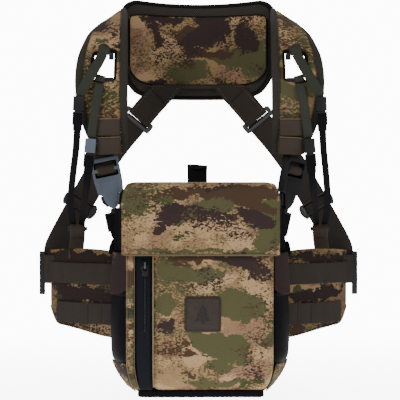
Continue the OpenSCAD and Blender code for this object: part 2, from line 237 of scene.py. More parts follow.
def wave(points, size, seed=0.0):
    """Smooth noise between -1 and 1 at each point, with features of this size in mm."""
    flat = points.reshape(-1, 3) / size
    values = [noise.noise(Vector(p) + Vector((seed, seed * 1.7, -seed))) for p in flat]
    return np.array(values).reshape(points.shape[:-1])


# ---------------------------------------------------------------- making pieces
COLLECTION = bpy.context.scene.collection


def piece(name, verts, faces, mats, body="harness", slot=None, nodes=(), mirror=False, index=None,
          smooth=True, uv=None, subdivide=1, shape=None):
    """One object from points in mm.

    slot is not used, and it may stand for CAD nodes.
    """
    v = (shape(np.array(verts, float)) if shape else np.array(verts, float)) * MM
    if mirror:
        v[:, 0] *= -1
        faces = [tuple(reversed(f)) for f in faces]
    mesh = bpy.data.meshes.new(name)
    mesh.from_pydata(v.tolist(), [], [tuple(int(k) for k in f) for f in faces])
    for m in mats:
        mesh.materials.append(m)
    if index is not None:
        mesh.polygons.foreach_set("material_index", np.array(index, np.int32))
    mesh.polygons.foreach_set("use_smooth", np.full(len(mesh.polygons), smooth))
    if uv is not None:
        layer = mesh.uv_layers.new(name="UVMap")
        loops = np.zeros(len(mesh.loops), np.int32)
        mesh.loops.foreach_get("vertex_index", loops)
        layer.data.foreach_set("uv", (np.array(uv, float) * MM)[loops].ravel())
    mesh.validate()
    mesh.update()
    o = bpy.data.objects.new(name, mesh)
    COLLECTION.objects.link(o)
    if subdivide:
        add = o.modifiers.new("round", "SUBSURF")
        add.levels = add.render_levels = subdivide
    if body:
        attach(o, body)
    if nodes:
        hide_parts(*nodes)
    return o


def ring_walls(rings, sides, closed=False):
    """Faces between rings of points, with both end faces unless the rings close on each other."""
    faces = []
    for k in range(rings if closed else rings - 1):
        here, there = k * sides, (k + 1) % rings * sides
        for s in range(sides):
            q = (s + 1) % sides
            faces.append((here + s, here + q, there + q, there + s))
    if not closed:
        faces += [tuple(reversed(range(sides))), tuple(range((rings - 1) * sides, rings * sides))]
    return faces


def slab(name, grid, front, back, mats, zone=None, hole=None, **how):
    """A closed sheet over a grid of points: front and back are offsets along the surface's normal."""
    n, m = grid.shape[:2]
    nrm = normals(grid)
    front = np.broadcast_to(np.asarray(front, float), (n, m))[..., None]
    back = np.broadcast_to(np.asarray(back, float), (n, m))[..., None]
    verts = np.concatenate([(grid + nrm * front).reshape(-1, 3), (grid + nrm * back).reshape(-1, 3)])
    along = lengths(grid[:, m // 2])
    across = lengths(grid[n // 2])
    uv = np.stack(np.broadcast_arrays(across[None, :], along[:, None]), -1).reshape(-1, 2)
    uv = np.concatenate([uv, uv])
    kept = {(i, j) for i in range(n - 1) for j in range(m - 1) if not (hole and hole(i, j))}
    faces, index = [], []
    at = lambda i, j, s: s * n * m + i * m + j
    pick = zone or (lambda i, j, s: 0)
    for i, j in sorted(kept):
        faces.append((at(i, j, 0), at(i + 1, j, 0), at(i + 1, j + 1, 0), at(i, j + 1, 0)))
        index.append(pick(i, j, 0))
        faces.append((at(i, j, 1), at(i, j + 1, 1), at(i + 1, j + 1, 1), at(i + 1, j, 1)))
        index.append(pick(i, j, 1))
        ring = [((i, j), (i + 1, j), (i, j - 1)), ((i + 1, j), (i + 1, j + 1), (i + 1, j)),
                ((i + 1, j + 1), (i, j + 1), (i, j + 1)), ((i, j + 1), (i, j), (i - 1, j))]
        for a, b, other in ring:
            if other not in kept:
                faces.append((at(*a, 0), at(*a, 1), at(*b, 1), at(*b, 0)))
                index.append(pick(i, j, 2))
    return piece(name, verts, faces, mats, index=index, uv=uv, **how)


def ribbon(name, pair, mat, thick=1.6, lift=0.0, **how):
    """Webbing between two edges: flat, with rounded selvedges."""
    shares = np.linspace(0, 1, 7)
    shares[1] = 0.06
    shares[-2] = 0.94
    grid = spread(pair, shares)
    t = np.full(grid.shape[:2], thick / 2)
    t[:, [0, -1]] *= 0.45
    return slab(name, grid, t + lift, -t + lift, [mat], **how)


def cut_level(pair, z):
    """A downward band with its top end cut level at this height."""
    out = []
    for line in (pair[:, 0], pair[:, 1]):
        k = int(np.argmax(line[:, 2] < z))
        a, b = (line[k - 1], line[k]) if k else (line[0], line[1])
        top = a + (b - a) * (z - a[2]) / (b[2] - a[2])
        rest = np.vstack([top[None], line[k:] if k else line])
        reach = lengths(rest)
        share = np.linspace(0, reach[-1], len(pair))
        out.append(sample(share, reach, rest))
    return np.stack(out, 1)


def both_sides(make):
    """Makes what both sides share: make(name ending, mirror)."""
    make("left", False)
    make("right", True)


def shorten(o, run):
    """Gives slack webbing its own copy of its mesh. run, the way the plug at its top slides out, is not
    used.
    """
    run = unit(np.array(run, float))
    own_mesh(o)


def stitches(name, path, mat, face, length=2.6, every=4.2, width=0.7, lift=0.4, body="harness",
             mirror=False):
    """A row of thread stitches, each a short rounded bar."""
    p = np.array(path, float)
    reach = lengths(p)
    out = np.array(face, float)
    verts, faces = [], []
    for start in np.arange(every / 2, reach[-1] - length, every):
        ends = sample([start, start + length], reach, p)
        run = unit(ends[1] - ends[0])
        up = unit(out - run * np.dot(out, run))
        side = np.cross(run, up)
        base = len(verts)
        for share, tall in ((0.0, 0.1), (0.25, 1.0), (0.75, 1.0), (1.0, 0.1)):
            c = ends[0] + (ends[1] - ends[0]) * share
            half = width / 2 * (0.6 if tall < 1 else 1)
            verts += [c - side * half - up * 0.3, c - side * half * 0.7 + up * lift * tall,
                      c + side * half * 0.7 + up * lift * tall, c + side * half - up * 0.3]
        for k in range(3):
            for q in range(4):
                a, b = base + k * 4 + q, base + k * 4 + (q + 1) % 4
                faces.append((a, b, b + 4, a + 4))
        faces.append((base + 3, base + 2, base + 1, base))
        faces.append((base + 12, base + 13, base + 14, base + 15))
    return piece(name, verts, faces, [mat], body=body, mirror=mirror, subdivide=0)


def tube(name, path, radius, mat, sides=8, closed=False, **how):
    """Round cord along a path in mm."""
    p = np.array(path, float)
    n = len(p)
    ahead = np.roll(p, -1, 0) if closed else np.vstack([p[1:], p[-1:]])
    behind = np.roll(p, 1, 0) if closed else np.vstack([p[:1], p[:-1]])
    run = unit(ahead - behind)
    guide = np.array([0.31, 0.91, 0.27])
    verts = []
    for k in range(n):
        a = unit(np.cross(run[k], guide))
        b = np.cross(run[k], a)
        for s in range(sides):
            t = 2 * math.pi * s / sides
            verts.append(p[k] + radius * (a * math.cos(t) + b * math.sin(t)))
    return piece(name, verts, ring_walls(n, sides, closed), [mat], subdivide=0, **how)


def soften(node, radius, mat, other=None, where=None):
    """A hard CAD part with its edges rounded: a new piece that stands for the node."""
    source = NODES[node]
    mesh = source.data.copy()
    mesh.name = node + "_moulded"
    b = bmesh.new()
    b.from_mesh(mesh)
    bmesh.ops.remove_doubles(b, verts=b.verts, dist=1e-5)
    bmesh.ops.dissolve_limit(b, angle_limit=0.02, verts=b.verts, edges=b.edges)
    b.to_mesh(mesh)
    b.free()
    mesh.materials.clear()
    mesh.materials.append(mat)
    if other:
        mesh.materials.append(other)
        for face in mesh.polygons:
            face.material_index = int(where(face.center / MM))
    o = bpy.data.objects.new(mesh.name, mesh)
    COLLECTION.objects.link(o)
    bevel = o.modifiers.new("edges", "BEVEL")
    bevel.width, bevel.segments = radius * MM, 3
    bevel.limit_method, bevel.angle_limit = "ANGLE", math.radians(30)
    bevel.harden_normals = True
    mesh.polygons.foreach_set("use_smooth", np.full(len(mesh.polygons), True))
    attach(o, body_of(source)[0])
    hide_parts(node)


def plate(name, rings, near, far, edge, mat, place, **how):
    """Moulded plate between two depths, with rounded edges.

    rings are outlines in x and z: the first is solid and the others are holes.
    """
    data = bpy.data.curves.new(name, "CURVE")
    data.dimensions, data.fill_mode = "2D", "BOTH"
    for ring in rings:
        spline = data.splines.new("POLY")
        spline.points.add(len(ring) - 1)
        for point, (a, b) in zip(spline.points, ring):
            point.co = (a, b, 0, 1)
        spline.use_cyclic_u = True
    data.extrude, data.offset = (far - near) / 2 - edge, -edge
    data.bevel_depth, data.bevel_resolution = edge, 2
    flat = bpy.data.objects.new(name, data)
    mesh = bpy.data.meshes.new_from_object(flat)
    b = bmesh.new()
    b.from_mesh(mesh)
    bmesh.ops.remove_doubles(b, verts=b.verts, dist=1e-4)
    bmesh.ops.recalc_face_normals(b, faces=b.faces)
    verts = place([(v.co.x, (near + far) / 2 - v.co.z, v.co.y) for v in b.verts])
    faces = [tuple(v.index for v in f.verts) for f in b.faces]
    b.free()
    bpy.data.objects.remove(flat)
    bpy.data.curves.remove(data)
    bpy.data.meshes.remove(mesh)
    o = piece(name, verts, faces, [mat], subdivide=0, **how)
    o.modifiers.new("flat", "EDGE_SPLIT").split_angle = math.radians(40)
    return o


def rounded_grid(low, high, radius, columns, rows):
    """Points (x, z) over a rectangle whose corners are rounded, from the top left corner down."""
    cx, cz = (low[0] + high[0]) / 2, (low[1] + high[1]) / 2
    w, h = (high[0] - low[0]) / 2, (high[1] - low[1]) / 2
    u, v = np.meshgrid(np.linspace(-1, 1, columns), np.linspace(1, -1, rows))
    x, z = u * w, v * h
    dx, dz = np.maximum(abs(x) - (w - radius), 0), np.maximum(abs(z) - (h - radius), 0)
    far = np.hypot(dx, dz)
    share = np.where((dx > 0) & (dz > 0), np.maximum(dx, dz) / np.maximum(far, 1e-9), 1)
    x = np.sign(x) * (np.minimum(abs(x), w - radius) + dx * share)
    z = np.sign(z) * (np.minimum(abs(z), h - radius) + dz * share)
    return cx + x, cz + z, u, v


def panel(low, high, radius, columns, rows, y):
    """Grid over an upright panel at this depth, with round corners, and its u and v from -1 to 1."""
    x, z, u, v = rounded_grid(low, high, radius, columns, rows)
    return np.stack([x, np.full_like(x, y), z], -1), u, v


def crown(u, v, power=4):
    """1 over a pad's middle, falling to 0 at its border."""
    return (1 - abs(u) ** power) * (1 - abs(v) ** power)


def puff(o, pressure, cap, hold):
    """Inflates a closed fabric piece with a cloth simulation; hold(point in mm) says what is sewn down."""
    bpy.context.view_layer.update()
    group = o.vertex_groups.new(name="sewn")
    for v in o.data.vertices:
        held = hold(np.array(v.co) / MM)
        if held > 0:
            group.add([v.index], held, "REPLACE")
    rest = np.array([v.co[:] for v in o.data.vertices])
    others = list(o.modifiers)
    for m in others:
        m.show_viewport = False
    cloth = o.modifiers.new("cloth", "CLOTH")
    s = cloth.settings
    s.quality = 6
    s.mass = 0.2
    s.tension_stiffness = s.compression_stiffness = 25
    s.shear_stiffness = 10
    s.bending_stiffness = 1.5
    s.use_pressure = True
    s.uniform_pressure_force = pressure
    s.vertex_group_mass = "sewn"
    s.pin_stiffness = 1
    s.effector_weights.gravity = 0
    cloth.collision_settings.use_collision = False
    scene = bpy.context.scene
    for f in range(1, 16):
        scene.frame_set(f)
    got = o.evaluated_get(bpy.context.evaluated_depsgraph_get())
    now = np.array([v.co[:] for v in got.data.vertices])
    o.modifiers.remove(cloth)
    for m in others:
        m.show_viewport = True
    scene.frame_set(1)
    if len(now) == len(rest) and np.isfinite(now).all():
        move = now - rest
        far = np.linalg.norm(move, axis=1, keepdims=True)
        move *= np.minimum(1, cap * MM / np.maximum(far, 1e-9))
        o.data.vertices.foreach_set("co", (rest + move).ravel())
        o.data.update()
    return o


# ---------------------------------------------------------------- materials


class Nodes:
    """A material's node tree, with short ways to add nodes."""

    def __init__(self, name):
        self.mat = bpy.data.materials.new(name)
        self.mat.use_nodes = True
        self.tree = self.mat.node_tree
        self.out = self.tree.nodes["Principled BSDF"]

    def add(self, kind, **values):
        n = self.tree.nodes.new(kind)
        for k, v in values.items():
            if k in n.inputs:
                n.inputs[k].default_value = v
            else:
                setattr(n, k, v)
        return n

    def where(self, kind="Object"):
        """Place on the piece, in metres."""
        return self.add("ShaderNodeTexCoord").outputs[kind]

    def surface(self, colour, rough, **others):
        """Sets the surface: colour, roughness and any other input, with _ for a space in its name."""
        for name, value in {"Base_Color": colour, "Roughness": rough, **others}.items():
            self.put(value, self.out.inputs[name.replace("_", " ")])

    def link(self, a, b):
        self.tree.links.new(a, b)

    def put(self, value, socket):
        if isinstance(value, bpy.types.NodeSocket):
            self.link(value, socket)
        else:
            socket.default_value = value

    def math(self, op, a, b=0.0, c=None):
        n = self.add("ShaderNodeMath", operation=op)
        self.put(a, n.inputs[0])
        self.put(b, n.inputs[1])
        if c is not None:
            self.put(c, n.inputs[2])
        return n.outputs[0]

    def mix(self, share, a, b):
        n = self.add("ShaderNodeMix", data_type="RGBA")
        self.put(share, n.inputs[0])
        self.put(a, n.inputs[6])
        self.put(b, n.inputs[7])
        return n.outputs[2]

    def noise(self, where, scale, detail=2.0, rough=0.5, shift=(0, 0, 0), stretch=(1, 1, 1)):
        m = self.add("ShaderNodeMapping")
        self.link(where, m.inputs["Vector"])
        m.inputs["Location"].default_value = shift
        m.inputs["Scale"].default_value = stretch
        n = self.add("ShaderNodeTexNoise", Scale=scale, Detail=detail, Roughness=rough)
        self.link(m.outputs[0], n.inputs["Vector"])
        return n.outputs["Fac"]

    def step(self, value, low, high):
        n = self.add("ShaderNodeMapRange", clamp=True)
        n.inputs["From Min"].default_value = low
        n.inputs["From Max"].default_value = high
        self.link(value, n.inputs["Value"])
        return n.outputs[0]

    def bump(self, height, strength, distance=0.0004):
        n = self.add("ShaderNodeBump", Strength=strength, Distance=distance)
        self.link(height, n.inputs["Height"])
        self.link(n.outputs[0], self.out.inputs["Normal"])

    def weave(self, where, pitch, axes=("X", "Z")):
        """Height of a plain weave: two sets of threads, pitch in metres."""
        s = self.add("ShaderNodeSeparateXYZ")
        self.link(where, s.inputs[0])
        turns = 2 * math.pi / pitch
        a = self.math("SINE", self.math("MULTIPLY", s.outputs[axes[0]], turns))
        b = self.math("SINE", self.math("MULTIPLY", s.outputs[axes[1]], turns))
        return self.math("MULTIPLY_ADD", self.math("MULTIPLY", a, b), 0.5, 0.5)


def rgb(text):
    """Linear colour from a hex value."""
    values = [int(text[i:i + 2], 16) / 255 for i in (0, 2, 4)]
    return [(c / 12.92 if c <= 0.04045 else ((c + 0.055) / 1.055) ** 2.4) for c in values] + [1]


def toned(colour, gain):
    """The same colour, paler or darker."""
    return [c * gain for c in colour[:3]] + [1]


TAN, SAND, ROSE, OLIVE, MOSS, BARK, PLUM, UMBER = (rgb(c) for c in (
    "ab8a5b", "c9a273", "a87f5e", "625f3d", "4b502f", "55402f", "423331", "66503a"))
# how far noise pulls the blots out of shape, in metres, and how soft a patch's edge is
WARP, EDGE_SOFT = 0.05, 0.012


def camouflage(name, shift=(0, 0, 0), dark=0.0, blots=(), bright=0.76):
    """Printed fabric: large patches with broken, speckled edges.

    blots place patches one by one: kind, x, z, two radii and turn, in mm and degrees. -kind keeps a kind
    away.
    """
    # dark darkens a copy of the print and shifts its patches to the darker colours, and bright sets its
    # overall level. On the belt wings' copy both are painted shade.
    n = Nodes(name)
    where = n.where()
    flat = (0.75, 0.75, 1.35)
    spots = n.add("ShaderNodeMapping", Scale=(0.8, 0.8, 1.25))
    n.link(where, spots.inputs["Vector"])
    cells = n.add("ShaderNodeTexVoronoi", Scale=640.0)
    n.link(spots.outputs[0], cells.inputs["Vector"])
    split = n.add("ShaderNodeSeparateColor")
    n.link(cells.outputs["Color"], split.inputs[0])
    mid = n.noise(where, 75, 3.0, 0.6, shift, flat)
    loose = n.step(n.noise(where, 21, 1.0, 0.5, (3, 1, shift[2])), 0.40, 0.60)
    fleck = n.math("MULTIPLY_ADD", n.noise(where, 330, 1.0, 0.6, shift, flat), 1.4, -0.7)
    fleck = n.math("ADD", fleck, n.math("MULTIPLY_ADD", split.outputs[0], 0.7, -0.35))
    jitter = n.math("MULTIPLY", fleck, n.math("MULTIPLY_ADD", loose, 0.30, 0.05))
    broken = n.math("MULTIPLY_ADD", n.math("SUBTRACT", mid, 0.5), 0.28, jitter)
    place = n.add("ShaderNodeSeparateXYZ")
    n.link(where, place.inputs[0])
    warps = [n.math("MULTIPLY_ADD", n.noise(where, 42, 4.0, 0.62, at), WARP, -WARP / 2)
             for at in ((8, 2, 5), (1, 9, 4))]
    warped_x = n.math("ADD", place.outputs["X"], warps[0])
    warped_z = n.math("MULTIPLY_ADD", warps[1], 0.6, place.outputs["Z"])

    def patch(kind, scale, at, low):
        """Where this colour is printed: noise above a level, with its blots added or taken off."""
        low = low + (0.045 if blots and kind != "sand" else 0)
        field = n.math("ADD", n.noise(where, scale, 2.0, 0.5, at, flat), broken)
        for what, x, z, rx, rz, turn in blots:
            if what != kind and what != "-" + kind:
                continue
            c, s = math.cos(math.radians(turn)), math.sin(math.radians(turn))
            dx = n.math("SUBTRACT", warped_x, x * MM)
            dz = n.math("SUBTRACT", warped_z, z * MM)
            a = n.math("MULTIPLY_ADD", dx, c / (rx * MM), n.math("MULTIPLY", dz, s / (rx * MM)))
            b = n.math("MULTIPLY_ADD", dx, -s / (rz * MM), n.math("MULTIPLY", dz, c / (rz * MM)))
            far = n.math("MULTIPLY_ADD", a, a, n.math("MULTIPLY", b, b))
            lift = n.math("MULTIPLY", n.math("MAXIMUM", n.math("SUBTRACT", 1.25, far), 0.0),
                          0.32 if what == kind else -0.34)
            field = n.math("ADD", field, lift)
        return n.step(field, low - EDGE_SOFT, low + EDGE_SOFT)

    x, y, z = shift
    colour = n.mix(patch("rose", 20, (x + 1, y + 5, z + 8), 0.55), TAN, ROSE)
    grain = n.step(n.noise(where, 430, 1.0, 0.5, shift, (0.7, 0.7, 1.25)), 0.515, 0.56)
    dense = n.step(n.noise(where, 34, 2.0, 0.5, (x + 5, y + 7, z)), 0.40, 0.55)
    colour = n.mix(n.math("MULTIPLY", grain, n.math("MULTIPLY_ADD", dense, 0.66, 0.14)), colour, UMBER)
    colour = n.mix(patch("sand", 24, (x + 7, y, z + 2), 0.55), colour, SAND)
    colour = n.mix(patch("olive", 15, (x + 4, y + 2, z + 5), 0.535 + dark * 0.04), colour, OLIVE)
    colour = n.mix(patch("moss", 24, (x + 9, y + 3, z + 1), 0.62), colour, MOSS)
    colour = n.mix(patch("bark", 22, (x + 2, y + 8, z + 3), 0.61 - dark * 0.05), colour, BARK)
    colour = n.mix(patch("plum", 14, (x + 6, y + 1, z + 9), 0.60 - dark * 0.1), colour, PLUM)
    speck = n.step(split.outputs[1], 0.88, 0.90)
    colour = n.mix(n.math("MULTIPLY", speck, n.math("MULTIPLY", loose, 0.7)), colour, BARK)
    wear = n.noise(where, 9, 2.0)
    shade = n.add("ShaderNodeHueSaturation")
    n.link(colour, shade.inputs["Color"])
    shade.inputs["Saturation"].default_value = 0.92
    n.link(n.math("MULTIPLY_ADD", wear, 0.2, bright - dark * 0.2), shade.inputs["Value"])
    n.surface(shade.outputs[0], 0.88, Specular_IOR_Level=0.15)
    n.bump(n.math("ADD", n.weave(where, 0.0011), n.math("MULTIPLY", n.noise(where, 60, 2.0), 2.5)), 0.35)
    return n.mat


def spacer_mesh(name, colour, cell=0.006):
    """Open mesh over foam: rows of small dark holes, by the fabric's own width and length."""
    n = Nodes(name)
    ring = n.step(n.weave(n.where("UV"), cell, ("X", "Y")), 0.72, 0.56)
    n.surface(n.mix(ring, toned(colour, 0.12), colour), 0.8, Specular_IOR_Level=0.15)
    n.bump(ring, 0.9, 0.0009)
    return n.mat


def webbing(name, colour, rib=0.0017):
    """Woven webbing: ribs along it and a fine cross weave, by its own width and length."""
    n = Nodes(name)
    s = n.add("ShaderNodeSeparateXYZ")
    n.link(n.where("UV"), s.inputs[0])
    u, v = s.outputs["X"], s.outputs["Y"]
    ribs = n.math("SINE", n.math("MULTIPLY", u, 2 * math.pi / rib))
    picks = n.math("SINE", n.math("MULTIPLY_ADD", v, 2 * math.pi / (rib * 0.8),
                                  n.math("MULTIPLY", ribs, 0.6)))
    height = n.math("MULTIPLY_ADD", n.math("MULTIPLY", ribs, picks), 0.35, n.math("MULTIPLY", picks, 0.3))
    shade = n.math("MULTIPLY_ADD", height, 0.22, 0.6)
    stain = n.noise(n.where(), 45, 2.0)
    shade = n.math("MULTIPLY", shade, n.math("MULTIPLY_ADD", stain, 0.5, 0.9))
    n.surface(n.mix(shade, toned(colour, 0.45), toned(colour, 1.35)), 0.75, Specular_IOR_Level=0.12)
    n.bump(height, 0.5, 0.0004)
    return n.mat


def nylon(name, colour, rough=0.6, coat=0.0):
    """Plain woven nylon."""
    n = Nodes(name)
    where = n.where()
    fine = n.weave(where, 0.0009)
    cloud = n.noise(where, 30, 3.0)
    shade = n.math("MULTIPLY_ADD", cloud, 0.6, n.math("MULTIPLY", fine, 0.3))
    n.surface(n.mix(shade, toned(colour, 0.6), toned(colour, 1.5)), rough, Specular_IOR_Level=0.06,
              Coat_Weight=coat, Coat_Roughness=0.35)
    n.bump(n.math("ADD", fine, n.math("MULTIPLY", cloud, 3.0)), 0.3)
    return n.mat


def plastic(name, colour, rough=0.38, grain=0.12):
    """Moulded plastic with a fine spark-eroded grain and paler worn patches."""
    n = Nodes(name)
    where = n.where()
    worn = n.step(n.noise(where, 120, 4.0, 0.7), 0.6, 0.8)
    n.surface(n.mix(n.math("MULTIPLY", worn, 0.35), colour, toned(colour, 2.2)),
              n.math("MULTIPLY_ADD", worn, 0.15, rough))
    n.bump(n.noise(where, 1500, 2.0), grain, 0.0002)
    return n.mat


def leather(name, colour):
    """Pebbled leather: raised cells and an uneven tone."""
    n = Nodes(name)
    where = n.where()
    cells = n.add("ShaderNodeTexVoronoi", feature="DISTANCE_TO_EDGE", Scale=700.0)
    n.link(where, cells.inputs["Vector"])
    grain = n.step(cells.outputs["Distance"], 0.0, 0.25)
    n.surface(n.mix(n.noise(where, 150, 3.0), toned(colour, 0.7), toned(colour, 1.5)), 0.62)
    n.bump(grain, 0.5, 0.0003)
    return n.mat


def metal(name, colour):
    """Plated metal, brushed along its length."""
    n = Nodes(name)
    where = n.where()
    n.surface(colour, n.math("MULTIPLY_ADD", n.noise(where, 900, 2.0), 0.25, 0.2), Metallic=1)
    n.bump(n.noise(where, 2500, 1.0, 0.5, (0, 0, 0), (1, 1, 0.1)), 0.1, 0.0001)
    return n.mat


POCKET_BLOTS = [
    ("bark", 2, 34, 38, 5, 0), ("plum", 65, 22, 22, 13, -25), ("plum", 40, 35, 30, 5, 0),
    ("rose", -38, 19, 18, 18, 0), ("olive", -6, 16, 29, 8, 4), ("olive", -37, -17, 19, 9, 25),
    ("sand", 18, 7, 24, 5, 33), ("-olive", 18, 8, 26, 4, 33), ("sand", 58, 5, 22, 8, -40),
    ("-olive", 58, 8, 22, 6, -40), ("olive", 45, -18, 33, 21, -10), ("bark", -42, -3, 8, 3, 0),
    ("plum", -39, -41, 15, 12, 0), ("sand", -10, -75, 12, 17, 10), ("rose", -34, -70, 16, 22, 0),
    ("-olive", -30, -75, 24, 24, 0), ("olive", 26, -66, 38, 17, -18), ("-olive", 52, -42, 32, 5, 22),
    ("rose", 52, -42, 30, 6, 22), ("olive", 77, -60, 9, 9, 0), ("rose", 70, -73, 11, 9, 0),
    ("-olive", 70, -74, 11, 7, 0), ("rose", 44, -95, 32, 7, 20), ("-olive", 44, -95, 32, 5, 20),
    ("bark", -10, -98, 13, 4, 5), ("olive", 24, -107, 42, 5, 0), ("-plum", 24, -40, 60, 40, 0),
    ("olive", 20, -90, 26, 8, 0)]
LID_BLOTS = [
    ("bark", -34, 108, 58, 9, 4), ("bark", 48, 110, 46, 9, 0), ("plum", -39, 85, 24, 11, 22),
    ("plum", -52, 69, 11, 5, 0), ("olive", 4, 91, 40, 10, 18), ("plum", 66, 80, 24, 11, -14),
    ("bark", 64, 96, 26, 8, -8), ("olive", -76, 98, 14, 17, 0), ("sand", -23, 61, 22, 10, 32),
    ("sand", 35, 69, 24, 12, -35), ("sand", 60, 52, 22, 7, 0), ("sand", -69, 56, 13, 9, 0),
    ("olive", 0, 44, 90, 3, 0), ("-plum", 20, 54, 90, 9, 0), ("-olive", -20, 60, 60, 10, 0),
    ("bark", 30, 84, 18, 3, 0), ("-plum", 10, 104, 90, 9, 0)]
YOKE_BLOTS = [
    ("rose", -76, 300, 12, 42, 0), ("plum", -54, 318, 9, 22, 0), ("plum", -50, 338, 40, 6, 0),
    ("sand", -37, 305, 20, 9, -35), ("sand", -50, 293, 9, 14, 0), ("bark", -6, 311, 24, 17, 0),
    ("plum", 65, 313, 18, 24, 0), ("sand", 58, 338, 26, 4, 15), ("olive", -15, 270, 30, 15, 0),
    ("olive", 50, 287, 32, 11, 0), ("rose", 39, 265, 35, 8, 0), ("plum", -52, 257, 14, 5, 0),
    ("-plum", -76, 300, 14, 40, 0), ("plum", 20, 325, 26, 9, 0), ("-olive", -40, 300, 24, 12, -30),
    ("bark", 10, 292, 30, 6, 0)]
WING_BLOTS = [
    ("plum", -150, 30, 60, 9, 0), ("plum", 150, 30, 60, 9, 0), ("plum", -134, -12, 40, 7, -6),
    ("plum", 134, -12, 40, 7, 6), ("olive", -112, -7, 20, 5, 0), ("olive", -166, -14, 16, 8, 0),
    ("olive", 120, -8, 20, 5, 0), ("sand", -158, -2, 18, 4, -8), ("sand", 158, -2, 18, 4, 8),
    ("sand", -104, -56, 16, 6, 0)]

CAMO_POCKET = camouflage("camouflage_pocket", (0.4, 0.2, 0.7), 0.0, POCKET_BLOTS)
CAMO_LID = camouflage("camouflage_lid", (1.3, 0.6, 0.1), 0.15, LID_BLOTS, 0.8)
CAMO_YOKE = camouflage("camouflage_yoke", (2.1, 0.3, 1.2), 0.6, YOKE_BLOTS, 0.82)
CAMO_STRAP = camouflage("camouflage_strap", (0.9, 1.6, 0.3), 0.2, (), 0.82)
CAMO_SIDE = camouflage("camouflage_side", (1.9, 1.1, 2.3), 0.3)
CAMO_EAR = camouflage("camouflage_ear", (2.7, 1.9, 0.5), 1.0, [("plum", 0, 12, 200, 40, 0)], 0.72)
# Painted shade: the belt wings' copy of the print is the darkest one (dark 1.0, bright 0.6) because the
# wings lie in shade.
SHADED_CAMO_WING = camouflage("camouflage_wing_painted_shade", (3.1, 0.7, 1.5), 1.0, WING_BLOTS, 0.6)
MESH = spacer_mesh("spacer_mesh", rgb("4a4640"), 0.0031)
BROWN = webbing("brown_webbing", rgb("38322d"))
GREY = webbing("grey_webbing", rgb("3d3e37"), 0.0012)
BLACK_WEB = webbing("black_webbing", rgb("101013"), 0.0014)
BLACK = nylon("black_nylon", rgb("0c0c10"))
ZIP_BAND = nylon("zip_band", rgb("15171e"), 0.42, 0.12)
LINING = nylon("lining", rgb("161513"))
THREAD = nylon("pale_thread", rgb("85785e"))
DARK_THREAD = nylon("dark_thread", rgb("191614"))
HEM = nylon("hem_fold", rgb("766c53"))
PATCH = leather("patch_leather", rgb("2e2319"))
PATCH_MARK = leather("patch_mark", rgb("1b1511"))
DARK_PLASTIC = plastic("black_plastic", rgb("0b0b0c"), 0.45)
BUCKLE = plastic("buckle_plastic", rgb("020203"), 0.6, 0.04)
STEEL = metal("zip_steel", rgb("77797d"))
# Painted highlight: a pale blue-grey copy of the black buckle plastic. It stands in for the glossy sheen on
# the parts that face the light, which are the left large buckle and the left small socket.
SHEEN_PLASTIC = plastic("painted_sheen_plastic", rgb("687280"), 0.3, 0.05)
BINDING_WEB = webbing("binding_tape", rgb("191715"), 0.0022)
BROWN_FLAT = webbing("brown_loop_webbing", rgb("4a413a"), 0.0009)
HEM_WEB = webbing("hem_tape", rgb("6b6148"), 0.0012)
GREY_EDGE = nylon("garage_edge", rgb("2c2c29"))
GUNMETAL = metal("slider_metal", rgb("26272b"))
RING_GREY = plastic("ring_plastic", rgb("4a4d4b"), 0.35, 0.06)
ZIP_COIL = plastic("zip_coil_plastic", rgb("3b3e42"), 0.4, 0.05)
PIPING = nylon("piping_cord", rgb("857a60"))
STRETCH = nylon("stretch_fabric", rgb("0a0a0e"), 0.55)

# ---------------------------------------------------------------- camera, floor and light
CAMERA_PLACE, FLOOR_Z = (-0.03, -1.995, 0.102), -0.1285
SEEN_WHITE, LIGHT_LEVEL = 12, 0.32
camera = bpy.data.objects.new("camera", bpy.data.cameras.new("camera"))
COLLECTION.objects.link(camera)
camera.data.lens, camera.data.sensor_width = 149.7, 36
camera.location = CAMERA_PLACE
camera.rotation_euler = (math.radians(90), 0, math.radians(-0.87))
bpy.context.scene.camera = camera


def floor():
    """Pale floor that fades out into the white room."""
    mesh = bpy.data.meshes.new("floor")
    b = bmesh.new()
    bmesh.ops.create_circle(b, cap_ends=True, segments=96, radius=1.6)
    b.to_mesh(mesh)
    b.free()
    n = Nodes("paper")
    where = n.where()
    far = n.add("ShaderNodeVectorMath", operation="LENGTH")
    n.link(where, far.inputs[0])
    fade = n.math("MULTIPLY", n.step(far.outputs["Value"], 1.0, 0.1), 0.5)
    n.surface(n.mix(n.noise(where, 3, 2.0), rgb("f6f6f6"), rgb("ffffff")), 0.95, Specular_IOR_Level=0.0,
              Emission_Color=(1, 1, 1, 1), Emission_Strength=2.6, Alpha=fade)
    mesh.materials.append(n.mat)
    o = bpy.data.objects.new("floor", mesh)
    o.location = (0, -0.05, FLOOR_Z)
    COLLECTION.objects.link(o)
    o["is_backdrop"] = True


floor()


def lamp(name, place, aim, size, power):
    """Soft box: an area light at a place, turned to its aim."""
    data = bpy.data.lights.new(name, "AREA")
    data.shape = "RECTANGLE"
    data.size, data.size_y = size
    data.energy = power
    o = bpy.data.objects.new(name, data)
    COLLECTION.objects.link(o)
    o.location = place
    o.rotation_euler = (Vector(aim) - Vector(place)).to_track_quat("-Z", "Y").to_euler()


